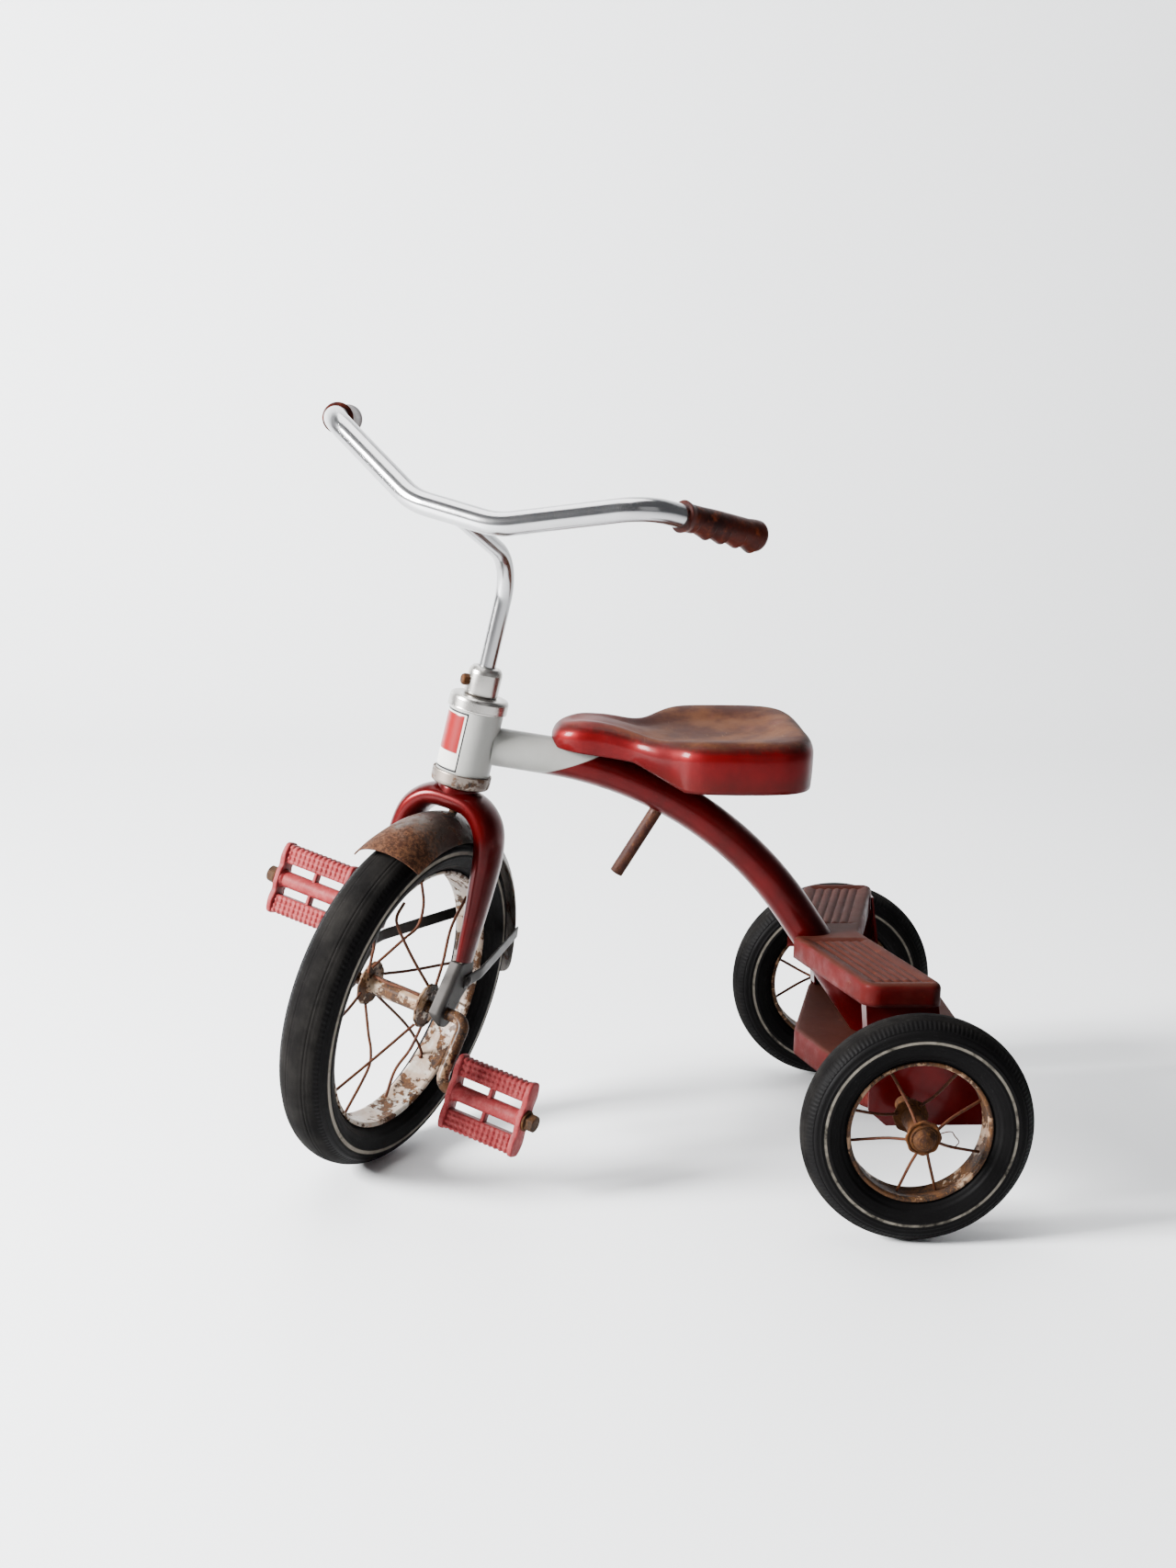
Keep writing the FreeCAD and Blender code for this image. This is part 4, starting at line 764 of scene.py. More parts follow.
FRONT_CENTRE = joint_point("front_wheel_spin")
PAINT_LINE = unit(np.array([0.0, -13.0, 39.0]))
PAINT_POINT = np.array([0.0, REAR_Y - 311.0, 358.0]) * MM

red_frame = red_enamel("candy red enamel", wear=0.10, dull=0.18)
red_tube = red_enamel("candy red and white backbone", wear=0.10, dull=0.22,
                      white_from=(PAINT_LINE, float(PAINT_LINE @ PAINT_POINT)))
red_fork = red_enamel("candy red fork", wear=0.07, dull=0.10)
red_legs = red_enamel("candy red legs", wear=0.12, dull=0.20)
red_seat = seat_enamel("worn seat enamel", SEAT_RIM)
red_deck = deck_enamel("walked deck enamel")
red_step = deck_enamel("walked step enamel", 0.1)
white_head = chipped_white("white head enamel", 0.03, 50.0, dirt=0.15)
white_rim = chipped_white("rusted rim enamel", 0.47, 44.0, (0.40, 0.385, 0.34), 0.65)
white_rear_rim = chipped_white("rusted rear rim enamel", 0.62, 40.0, (0.25, 0.205, 0.135), 0.85)
hub_enamel = chipped_white("rusted hub enamel", 0.55, 55.0, (0.27, 0.215, 0.135), 0.8)
crank_enamel = chipped_white("rusted crank plate", 0.64, 52.0, (0.30, 0.24, 0.16), 0.8)
chrome = plated("chrome plate")
chrome_worn = plated("worn chrome plate", (0.46, 0.44, 0.41), 0.20, 0.20, 0.22)
chrome_dull = plated("dulled brown plate", (0.16, 0.125, 0.10), 0.42, 0.36, 0.35)
rust_brown = rusted("brown rust")
rust_hub = rusted("orange hub rust", 70.0, (0.085, 0.028, 0.008), 0.35)
rust_wire = rusted("spoke rust", 120.0, (0.060, 0.017, 0.010), 0.5, 0.7)
rust_post = rusted("seat post rust", 60.0, (0.028, 0.007, 0.006), 0.6, 0.6)
rust_dark = rusted("dark fastener rust", 110.0, (0.022, 0.012, 0.007), 0.5, 0.7)
grey_strip = dull_steel("matt grey steel")
rubber_grip = aged_rubber("aged grip rubber")
pedal_red = faded_plastic("faded pedal plastic")
fender_finish = fender_plate("rusted fender plate", FRONT_CENTRE)
label_finish = label_print("plain head label")

# ---- wheels ------------------------------------------------------------------------
RIM_LIP, RIM_FLOOR = 2.2, 4.2
WIRE_STEPS = 8


def tyre(radius, half, rim_r, seat, stripe_at, shoulder, ribs, turns):
    """Tyre section turned about X.

    The section is an oval about the belly line: x = half*sin(t), radius = belly + crown*cos(t)**0.92
    above it and the bead's reach below. Rings stand on its walls as bells of the radius, three
    grooves are cut each side of the tread's middle, and the shoulders carry a cosine of the turn,
    faded in and out across the shoulder.
    """
    height = radius - rim_r
    belly = rim_r + 0.45 * height
    end = math.pi - math.asin(seat / half)
    t = np.linspace(-end, end, 121)
    cosine = np.cos(t)
    above = (radius - belly) * np.abs(cosine) ** 0.92
    below = 0.45 * height * cosine / abs(math.cos(end))
    r = belly + np.where(cosine > 0, above, below)
    x = half * np.sin(t)
    out_x, out_r = np.sin(t), cosine
    wall = np.where(cosine < 0.86, 1.0, 0.0)
    lift = wall * (0.55 * bump(r, stripe_at - 3.4, 0.8) + 0.55 * bump(r, stripe_at + 3.4, 0.8)
                   + 0.35 * bump(r, stripe_at + 7.5, 0.6) - 0.5 * bump(r, stripe_at + 10.0, 0.5)
                   - 0.4 * bump(r, rim_r + 4.5, 0.9) + 0.4 * bump(r, rim_r + 7.0, 0.7))
    groove_at = np.array([0.20, 0.34, 0.47])
    lift = lift - 0.45 * sum(bump(np.abs(np.sin(t)), g, 0.018) for g in groove_at) * (cosine > 0)
    lift = lift - 0.45
    x, r = x + lift * out_x, r + lift * out_r
    section = np.concatenate([np.stack([x, r], 1), [[seat, rim_r - RIM_LIP + 0.1],
                                                    [-seat, rim_r - RIM_LIP + 0.1]]])

    def wave(turn, x, r):
        inside = ease(r, shoulder[0], shoulder[0] + 1.5) * (1 - ease(r, shoulder[1] - 1.0, shoulder[1]))
        return 0.38 * inside * (np.cos(ribs * turn) - 1) * (np.abs(x) > 0.3 * half)

    return lathe(section, turns, wave)


def rim(rim_r, half):
    """A rolled rim: a wide dished floor between two round lips, one closed section."""
    inner = rim_r - RIM_FLOOR
    outline = [
        (-half, inner + 1.2), (-half, rim_r - 0.2), (-half + 1.9, rim_r - 0.2),
        (-half + 2.0, inner + 2.1), (half - 2.0, inner + 2.1), (half - 1.9, rim_r - 0.2),
        (half, rim_r - 0.2), (half, inner + 1.2), (half - 2.6, inner),
        (half * 0.35, inner + 0.9), (-half * 0.35, inner + 0.9), (-half + 2.6, inner),
    ]
    return lathe(softened(outline, 1.4), 144)


def wire(points, radius):
    """A bent wire that flows through the points."""
    return tube(flowing(points, (len(points) - 1) * WIRE_STEPS + 1), radius, 10)


def hub(flange_r, flange_x, barrel_r, thick, bore_r, lobes):
    """A spool: two dished flanges with a boss at each spoke on a plain barrel, bored through."""
    outer = flange_x + thick
    outline = [
        (-outer, bore_r), (-outer, barrel_r + 1.5), (-outer + 0.9, barrel_r + 3.5),
        (-outer + 0.9, flange_r - 3.5), (-outer, flange_r - 2.0), (-outer, flange_r),
        (-flange_x, flange_r), (-flange_x, barrel_r + 1.6), (-flange_x + 2.2, barrel_r),
        (flange_x - 2.2, barrel_r), (flange_x, barrel_r + 1.6), (flange_x, flange_r),
        (outer, flange_r), (outer, flange_r - 2.0), (outer - 0.9, flange_r - 3.5),
        (outer - 0.9, barrel_r + 3.5), (outer, barrel_r + 1.5), (outer, bore_r),
    ]

    def wave(turn, x, r):
        return -0.9 * ease(r, flange_r - 3, flange_r) * (0.5 - 0.5 * np.cos(lobes * turn))

    return lathe(softened(outline, 0.9), 96, wave)


FRONT_R, FRONT_HALF, FRONT_RIM_R, FRONT_STRIPE = 160.0, 24.8, 121.5, 141.0
REAR_R, REAR_HALF, REAR_RIM_R, REAR_STRIPE = 100.0, 20.2, 62.4, 81.0

front_rubber = tyre_rubber("front tyre rubber", FRONT_CENTRE, AXLE, FRONT_STRIPE, 3.2, 151.0,
                           0.74)
make_piece("front_tyre_tread", [moved(tyre(FRONT_R, FRONT_HALF, FRONT_RIM_R, 12.5, FRONT_STRIPE,
                                           (150.0, 154.5), 190, 760), front_wheel)],
           front_rubber, "front_wheel", ["front_tyre"])
make_piece("front_rim_rolled", [moved(rim(FRONT_RIM_R, 14.5), front_wheel)],
           white_rim, "front_wheel", ["front_rim"])
make_piece("front_hub_spool", [moved(hub(21.0, 29.0, 8.5, 2.5, 5.7, 12), front_wheel)],
           hub_enamel, "front_wheel", ["front_hub"])

# Each wire as (along the axle, rearward, up) from the wheel's centre, bent and broken as found.
FRONT_WIRES = [
    [(27.5, -1.1, 18.6), (21.0, -30.0, 47.0), (15.0, -55.6, 75.7), (12.0, -58.3, 86.1),
     (10.0, -47.1, 96.6)],
    [(27.5, 13.2, 12.5), (22.0, 27.9, 33.6), (10.0, 51.6, 59.6), (2.5, 82.0, 83.0)],
    [(27.5, -9.9, -17.2), (14.0, -39.7, -47.1), (2.5, -86.0, -78.5)],
    [(27.5, 6.5, -18.2), (24.0, 0.8, -44.0), (18.0, -7.1, -65.3), (12.0, -1.0, -94.8)],
    [(27.5, 19.5, -3.0), (15.0, 62.0, -18.0), (2.5, 113.0, -26.0)],
    [(-27.5, -8.4, 17.5), (-15.0, 15.1, 45.6), (-12.0, 29.7, 56.9), (-10.0, 26.9, 78.3),
     (-8.0, 10.0, 102.2)],
    [(-27.5, 16.0, 7.4), (-15.0, 46.5, 10.5), (-2.5, 115.2, 13.4)],
    [(-27.5, 13.2, -13.5), (-18.0, 58.3, -44.4), (-10.0, 76.1, -63.1), (-8.0, 88.2, -77.7),
     (-7.0, 84.6, -80.8)],
    [(-27.5, -5.7, -18.1), (-20.0, -1.2, -45.0), (-14.0, -0.4, -59.9), (-10.0, -5.6, -76.2),
     (-2.5, -43.0, -107.5)],
    [(-27.5, -18.5, -6.1), (-18.0, -55.2, -14.1), (-2.5, -114.4, -18.5)],
    [(-27.5, -13.0, 13.0), (-26.0, -16.5, 30.7), (-24.0, -20.9, 41.2), (-22.0, -36.6, 56.8),
     (-20.0, -50.3, 67.6)],
    [(24.0, -7.0, 9.0), (8.0, -8.0, 9.8), (-10.0, -8.5, 9.2), (-25.0, -6.0, 10.0)],
]
make_piece("front_spoke_wires", [moved(wire(points, 1.4), front_wheel) for points in FRONT_WIRES],
           rust_wire, "front_wheel", ["front_spokes"])

REAR_SPOKE_REACH = 57.6
# Each rear spoke as its angle in degrees and the side of the hub that it leaves from.
REAR_ANGLES = {
    "left": ((25, 1), (55, -1), (117, 1), (165, -1), (190, 1), (255, 1), (288, 1), (338, 1)),
    "right": ((20, 1), (66, -1), (110, 1), (158, -1), (200, 1), (247, -1), (292, 1), (335, -1)),
}


def rear_wires(angles, outward):
    """Spokes from a flange to the rim, each at its angle and slightly bowed half way."""
    wires = []
    for degrees, face in angles:
        a = math.radians(degrees)
        ray = np.array([0.0, math.cos(a), math.sin(a)])
        side = np.array([0.0, -math.sin(a), math.cos(a)])
        flange = outward * face * 22.5 * X_AXIS
        bow = 1.6 * math.sin(5 * a)
        wires.append(wire([flange + ray * 12.5, flange * 0.62 + ray * 30 + side * bow,
                           flange * 0.12 + ray * REAR_SPOKE_REACH], 1.35))
    return wires


for side, outward in SIDES:
    put = REAR_WHEELS[side]
    body = side + "_rear_wheel"
    rubber = tyre_rubber(side + " rear tyre rubber", joint_point(side + "_rear_wheel_spin"), X_AXIS,
                         REAR_STRIPE, 2.2, 93.0, 0.58)
    make_piece("rear_tyre_tread_" + side,
               [moved(tyre(REAR_R, REAR_HALF, REAR_RIM_R, 11.9, REAR_STRIPE, (91.0, 97.5), 150, 600),
                      put)],
               rubber, body, ["rear_tyre_" + side])
    make_piece("rear_rim_rolled_" + side, [moved(rim(REAR_RIM_R, 13.9), put)],
               white_rear_rim, body, ["rear_rim_" + side])
    make_piece("rear_hub_spool_" + side, [moved(hub(15.5, 24.0, 9.0, 2.5, 5.6, 8), put)],
               rust_hub, body, ["rear_hub_" + side])
    wires = rear_wires(REAR_ANGLES[side], outward)
    if side == "left":
        curl = [(25.0, 10.0, 2.5), (26.5, 22.0, 6.0), (26.0, 26.0, 2.0), (25.5, 30.0, -3.5),
                (25.5, 27.5, -7.5)]
        wires.append(wire(curl, 0.5))
    make_piece("rear_spoke_wires_" + side, [moved(w, put) for w in wires],
               rust_wire, body, ["rear_spokes_" + side])

# ---- rear axle's fastenings --------------------------------------------------------
# A cap's outline as (from its tip, radius), from its open face to its tip.
CAP_STEPS = np.array([
    (-7.0, 0.0), (-7.0, 6.0), (-7.0, 9.3), (-5.2, 9.5), (-4.0, 8.2), (-3.0, 7.6), (-2.4, 6.2),
    (-1.2, 5.6), (-0.9, 3.8), (-0.1, 2.6), (0.0, 0.0)])
cap_low, cap_high = (corner[0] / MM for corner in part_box("axle_caps"))
axle_middle = placed(np.array([0.0, REAR_Y, REAR_R]), X_AXIS, Z_AXIS)
caps = []
for tip, outward in ((cap_high, 1), (cap_low, -1)):
    profile = CAP_STEPS * [outward, 1] + [tip, 0]
    caps.append(moved(lathe(profile, 48, closed=False), axle_middle))
make_piece("axle_push_caps", caps, rust_brown, "main_frame", ["axle_caps"])

# ---- head --------------------------------------------------------------------------
def upright(surface):
    """A surface turned about X stood up to turn about local Z: (x, y, z) becomes (z, y, x)."""
    points, quads = surface
    return points[:, [2, 1, 0]], quads


HEAD_LOW, HEAD_HIGH, HEAD_R = 199.0, 276.0, 24.2
tube_section = [(HEAD_LOW, 22.2), (HEAD_LOW, HEAD_R), (HEAD_HIGH, HEAD_R), (HEAD_HIGH, 22.2)]
make_piece("head_tube_shell", [moved(upright(lathe(softened(tube_section, 0.6), 96)), head)],
           white_head, "main_frame", ["head_tube"])


def cup(end, inward):
    """A spun cup: a domed cap with a rolled lip, a bead round its skirt, open at the middle."""
    rows = [(-3.0, 13.5), (-3.0, 21.0), (-2.5, 24.2), (-1.2, 25.8), (1.0, 26.5), (8.2, 26.5),
            (8.8, 26.6), (10.0, 26.3), (10.0, 24.3), (0.0, 24.3), (0.0, 13.5)]
    profile = np.array(rows) * [inward, 1] + [end, 0]
    return upright(lathe(softened(profile, 0.8, 3), 96))


make_piece("head_cup_upper_spun", [moved(cup(HEAD_HIGH, -1), head)], chrome_worn, "main_frame",
           ["head_cup_upper"])
make_piece("head_cup_lower_spun", [moved(cup(HEAD_LOW, 1), head)], chrome_dull, "main_frame",
           ["head_cup_lower"])

LABEL_HALF = math.radians(72.0)
LABEL_LOW, LABEL_HIGH, LABEL_R = 210.5, 264.0, HEAD_R + 0.15
turn, rise = np.broadcast_arrays(np.linspace(-LABEL_HALF, LABEL_HALF, 41)[:, None],
                                 np.linspace(LABEL_LOW, LABEL_HIGH, 13)[None, :])
label_points = np.stack([LABEL_R * np.sin(turn), -LABEL_R * np.cos(turn), rise], -1)
label_uv = np.stack([(turn / LABEL_HALF + 1) / 2,
                     (rise - LABEL_LOW) / (LABEL_HIGH - LABEL_LOW)], -1).reshape(-1, 2)
make_piece("head_label", [moved(patch(label_points), head)], label_finish, "main_frame",
           uv=label_uv, wall=0.1)

# ---- backbone ----------------------------------------------------------------------
TUBE_R, TUBE_BEND_R, STEP_TOP = 17.2, 340.0, 118.0
TUBE_START = HEAD_ORIGIN + UP * ((385.0 - HEAD_ORIGIN[2]) / UP[2])
TUBE_FOOT = np.array([0.0, REAR_Y + 1.0, STEP_TOP])
fall = np.array([0.0, math.cos(math.radians(9.0)), -math.sin(math.radians(9.0))])
drop = np.array([0.0, math.cos(math.radians(55.5)), -math.sin(math.radians(55.5))])
span = TUBE_FOOT - TUBE_START
run = (span[1] * drop[2] - span[2] * drop[1]) / (fall[1] * drop[2] - fall[2] * drop[1])
backbone_line = even(rounded([TUBE_START + fall * 20, TUBE_START + fall * run, TUBE_FOOT + drop * 14],
                             [TUBE_BEND_R], 40), 5.0)
backbone_points, backbone_quads = tube(backbone_line, TUBE_R, 40)
below = np.maximum(STEP_TOP + 0.1 - backbone_points[:, 2], 0)
backbone_points = backbone_points + (below / drop[2])[:, None] * drop
make_piece("backbone_bent_tube", [(backbone_points, backbone_quads)], red_tube, "main_frame",
           ["backbone_tube"])

# ---- decks -------------------------------------------------------------------------
SWEEP, APEX_R, TUCK_HALF = 0.27, 3.0, 16.3


def pressed(half_x, half_y, corner, edge, skirt, centre_y, top, sweep_back, relief, cells):
    """A pressed tray: a flat rounded rectangle whose border rolls over into a skirt.

    A grid point (a, b) is held inside a core rectangle; what is left over is a distance d and a
    direction. Along that direction the surface runs flat for corner - edge, round an arc of
    radius edge, then straight down to the skirt's hem. The plan is then swept back by
    SWEEP * |x| at the front and by sweep_back * |x| at the rear. relief(x, y) lifts the top.
    """
    core_x, core_y = half_x - corner, half_y - corner
    flat = corner - edge
    arc = edge * math.pi / 2
    reach = flat + arc + skirt - edge
    margin = np.concatenate([np.linspace(0, flat, 3), flat + np.linspace(0, arc, 7)[1:],
                             np.linspace(flat + arc, reach, 5)[1:]])
    a = np.concatenate([-core_x - margin[::-1], np.linspace(-core_x, core_x, cells[0])[1:-1],
                        core_x + margin])[:, None]
    b = np.concatenate([-core_y - margin[::-1], np.linspace(-core_y, core_y, cells[1])[1:-1],
                        core_y + margin])[None, :]
    a, b = np.broadcast_arrays(a, b)
    left_a, left_b = a - np.clip(a, -core_x, core_x), b - np.clip(b, -core_y, core_y)
    d = np.maximum(np.abs(left_a), np.abs(left_b))
    length = np.maximum(np.hypot(left_a, left_b), 1e-9)
    angle = np.clip((d - flat) / edge, 0, math.pi / 2)
    out = np.where(d < flat, d, flat + edge * np.sin(angle))
    fall_by = edge * (1 - np.cos(angle)) + np.maximum(d - flat - arc, 0)
    x = np.clip(a, -core_x, core_x) + out * left_a / length
    y = np.clip(b, -core_y, core_y) + out * left_b / length
    lift = relief(x, y) * (1 - ease(fall_by, 0.0, 1.0))
    share = (y + half_y) / (2 * half_y)
    bent = np.sqrt(x ** 2 + APEX_R ** 2) - APEX_R
    swept = bent * (SWEEP * (1 - share) + sweep_back * share)
    return np.stack([x, centre_y + y + swept, top - fall_by + lift], -1)


def ribbed(x, y):
    """Two sunk fields, one on each arm, each with ribs along the arm and a raised middle."""
    field = ease(np.abs(x), 24.0, 26.5) * (1 - ease(np.abs(x), 151.0, 153.5))
    field = field * (1 - ease(np.abs(y), 24.0, 26.5))
    ribs = np.abs(np.cos(math.pi * y / 8.1)) ** 0.6
    ends = ease(np.abs(x), 27.0, 31.0) * (1 - ease(np.abs(x), 146.0, 150.0))
    return field * (-2.6 + 2.1 * ribs * ends)


def tuck(points, low_z):
    """Points within the backbone's width and ahead of its middle line moved back to that line."""
    x, y, z = points[..., 0], points[..., 1], points[..., 2]
    line = np.interp(-z, -backbone_line[:, 2], backbone_line[:, 1])
    hidden = (np.abs(x) < TUCK_HALF) & (y < line) & (z > low_z)
    return np.stack([x, np.where(hidden, line, y), z], -1)


DECK_TOP, DECK_APEX = 211.0, REAR_Y - 82.0
deck_grid = pressed(162.0, 34.0, 12.0, 5.0, 20.0, DECK_APEX + 34.0, DECK_TOP, SWEEP, ribbed, (150, 58))
make_piece("step_deck_pressed", [patch(tuck(deck_grid, 150.0))], red_deck, "main_frame",
           ["step_deck"], wall=1.8)


def dished(x, y):
    """A faint dip in the middle of the lower step."""
    return -0.6 * bump(x, 0.0, 90.0) * bump(y, 10.0, 40.0)


STEP_FRONT, STEP_BACK = REAR_Y - 71.0, REAR_Y + 88.0
step_half_y = (STEP_BACK - STEP_FRONT) / 2
step_grid = pressed(147.8, step_half_y, 14.0, 5.0, 24.0, STEP_FRONT + step_half_y, STEP_TOP, 0.0,
                    dished, (60, 40))
make_piece("lower_step_pressed", [patch(step_grid)], red_step, "main_frame", ["lower_step"],
           wall=1.8)

# ---- seat --------------------------------------------------------------------------
# Half of the seat's outline from nose to rear, as shares of its half width and of its length.
SEAT_PLAN = np.array([
    (0.0, 0.0), (0.17, 0.018), (0.30, 0.085), (0.37, 0.20), (0.46, 0.30), (0.62, 0.375), (0.81, 0.44),
    (0.94, 0.505), (0.995, 0.60), (0.995, 0.80), (0.93, 0.905), (0.77, 0.965),
    (0.45, 0.995), (0.0, 1.0)])


def seat_surface():
    """The pan: rings from the hem up the skirt, over a round rim and in to a spine.

    The outline is a smooth closed curve through the plan's points. Each ring is the outline drawn
    towards the spine by a share, at a height that follows the skirt, a quarter round and then the
    dished top, which is a bowl for the rider with a raised nose ahead of it.
    """
    half = SEAT_PLAN * [SEAT_HALF, SEAT_REAR - SEAT_NOSE] + [0, SEAT_NOSE]
    right = half[-2:0:-1] * [-1, 1]
    ring = np.concatenate([half, right])
    ring = np.concatenate([ring, np.zeros((len(ring), 1))], 1)
    ring = np.concatenate([ring[-3:], ring, ring[:4]])
    smooth = flowing(ring, (len(ring) - 1) * 14 + 1)[3 * 14:-(3 * 14)][:-1]
    smooth[:, 1] = np.clip(smooth[:, 1], SEAT_NOSE, SEAT_REAR)
    spine_y = np.clip(smooth[:, 1], SEAT_NOSE + 30.0, SEAT_REAR - 62.0)
    spine = np.stack([0 * spine_y, spine_y, 0 * spine_y], 1)
    away = smooth - spine
    width = np.linalg.norm(away, axis=1)
    length = (smooth[:, 1] - SEAT_NOSE) / (SEAT_REAR - SEAT_NOSE)
    hem = np.interp(length, [0, 0.3, 0.48, 1.0], [384.0, 377.0, SEAT_LOW + 0.2, SEAT_LOW + 0.2])
    crown = SEAT_RIM - 0.3 + 5.0 * bump(length, 0.12, 0.16) - 5.0 * bump(length, 0.38, 0.10)
    roll = 15.0
    rows = []
    for share in np.linspace(0, 1, 9):
        tuck_in = 1.8 * (1 - share) ** 2
        rows.append((tuck_in, hem + (crown - roll - hem) * share))
    for angle in np.linspace(0, math.pi / 2, 10)[1:]:
        rows.append((roll * (1 - math.cos(angle)), crown - roll + roll * math.sin(angle)))
    grid = []
    for inward, height in rows:
        point = smooth - away / width[:, None] * inward
        grid.append(np.stack([point[:, 0], point[:, 1], np.broadcast_to(height, width.shape)], 1))
    for share in np.linspace(0, 1, 26)[1:]:
        inward = roll + (width - roll) * share
        point = smooth - away / width[:, None] * inward[:, None]
        x, y = point[:, 0], point[:, 1]
        bowl = 9.0 * np.exp(-((x / 78.0) ** 2 + ((y - (SEAT_REAR - 92.0)) / 72.0) ** 2) ** 1.4)
        bridge = crown * (1 - ease(share, 0.0, 1.0)) + ease(share, 0.0, 1.0) * (
            SEAT_RIM - 2.0 + 6.5 * bump(y, SEAT_NOSE + 38.0, 34.0))
        grid.append(np.stack([x, y, bridge - bowl * ease(share, 0.0, 0.45)], 1))
    return np.stack(grid)


make_piece("seat_pressed_pan", [patch(seat_surface(), wrap_cols=True)], red_seat, "seat",
           ["seat_pan"], wall=1.6, sharp=60.0)

post_axis = joint_axis("seat_height")
post_low, post_high = (np.array(corner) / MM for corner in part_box("seat_post"))
post_length = (post_high[2] - post_low[2]) / post_axis[2] - 12.0 * math.tan(math.radians(31.0))
post_foot = np.array([0.0, REAR_Y - 240.0, 265.5])
post_put = placed(post_foot, X_AXIS, post_axis)
post_rows = [(0.0, 0.0), (0.0, 3.6), (1.2, 3.8), (1.2, 5.2), (0.2, 5.7), (1.2, 6.0),
             (post_length, 6.0), (post_length, 0.0)]
post_rod = upright(lathe(softened(post_rows, 0.4, 3, False), 40, closed=False))
make_piece("seat_post_rod", [moved(post_rod, post_put)], rust_post, "seat", ["seat_post"])

# ---- fork --------------------------------------------------------------------------
# Stations from a blade's foot to the crown's middle: centre x, y, z, half width, half depth.
BLADE = np.array([
    (47.5, -5.0, 46.0, 6.0, 11.5), (46.2, -1.5, 88.0, 8.0, 14.5), (45.2, 0.0, 115.0, 9.5, 17.0),
    (44.0, 0.0, 144.0, 10.6, 19.0), (37.5, 0.0, 167.0, 11.2, 20.0), (22.0, 0.0, 181.0, 11.0, 20.0),
    (0.0, 0.0, 184.0, 11.0, 20.0)])


def fork_surface():
    """Ovals along the left blade, over the crown and down the right one.

    Stations are smoothed through the blade's table; each ring is a rounded oval with one axis
    along the wheel's axle side and one fore and aft.
    """
    stations = np.concatenate([BLADE, BLADE[-2::-1] * [-1, 1, 1, 1, 1]])
    centres = flowing(stations[:, :3], 150)
    sizes = flowing(np.concatenate([stations[:, 3:], 0 * stations[:, :1]], 1), 150)
    tangent = unit(np.gradient(centres, axis=0))
    wide = unit(np.cross(np.broadcast_to(Y_AXIS, tangent.shape), tangent))
    deep = np.cross(tangent, wide)
    turn = np.linspace(0, 2 * math.pi, 44, endpoint=False)[None, :, None]
    power = 0.88
    c = np.sign(np.cos(turn)) * np.abs(np.cos(turn)) ** power
    s = np.sign(np.sin(turn)) * np.abs(np.sin(turn)) ** power
    ring = centres[:, None] + wide[:, None] * c * sizes[:, None, :1] \
        + deep[:, None] * s * sizes[:, None, 1:2]
    return patch(capped(ring), wrap_cols=True)


boss_rows = [(178.0, 0.0), (178.0, 18.5), (195.7, 18.5), (195.7, 0.0)]
boss = upright(lathe(softened(boss_rows, 2.0, 4, False), 64, closed=False))
make_piece("fork_pressed_blades", [moved(fork_surface(), steered), moved(boss, steered)],
           red_fork, "front_fork", ["fork_crown", "fork_blade_left", "fork_blade_right"],
           sharp=50.0)

COLLAR_LOW = HEAD_HIGH + 3.3
collar_rows = [(COLLAR_LOW, 9.5), (COLLAR_LOW, 14.4), (COLLAR_LOW + 0.8, 15.2),
               (COLLAR_LOW + 19.5, 15.2), (COLLAR_LOW + 22.5, 14.6), (COLLAR_LOW + 25.2, 12.6),
               (COLLAR_LOW + 26.0, 10.2), (COLLAR_LOW + 26.0, 7.75), (COLLAR_LOW + 21.0, 7.75),
               (COLLAR_LOW + 21.0, 9.5)]
make_piece("stem_collar_turned", [moved(upright(lathe(softened(collar_rows, 0.9, 4), 72)), steered)],
           chrome_worn, "front_fork", ["stem_collar"])

bolt_turn = math.radians(-40.0)
bolt_out = math.sin(bolt_turn) * AXLE - math.cos(bolt_turn) * np.cross(UP, AXLE)
bolt_put = placed(steered([[0.0, 0.0, COLLAR_LOW + 11.7]])[0], bolt_out, UP)


def hexagon(across):
    """Cuts a turned outline to six flats: its radius is at most across/2 / cos(angle in its sixth)."""
    def wave(turn, x, r):
        sixth = np.mod(turn, math.pi / 3) - math.pi / 6
        flat = across / 2 / np.cos(sixth)
        return np.where(r > across / 2 * 0.9, np.minimum(flat - r, 0), 0)
    return wave


bolt_rows = [(15.0, 0.0), (15.0, 5.2), (19.2, 5.2), (20.6, 4.2), (21.2, 2.4), (21.2, 0.0)]
make_piece("collar_pinch_bolt", [moved(lathe(softened(bolt_rows, 0.5, 3, False), 72,
                                             hexagon(9.0), False), bolt_put)],
           rust_brown, "front_fork", ["collar_bolt"])

END_X, END_R, RIVET_UP = 52.0, 13.0, 28.0


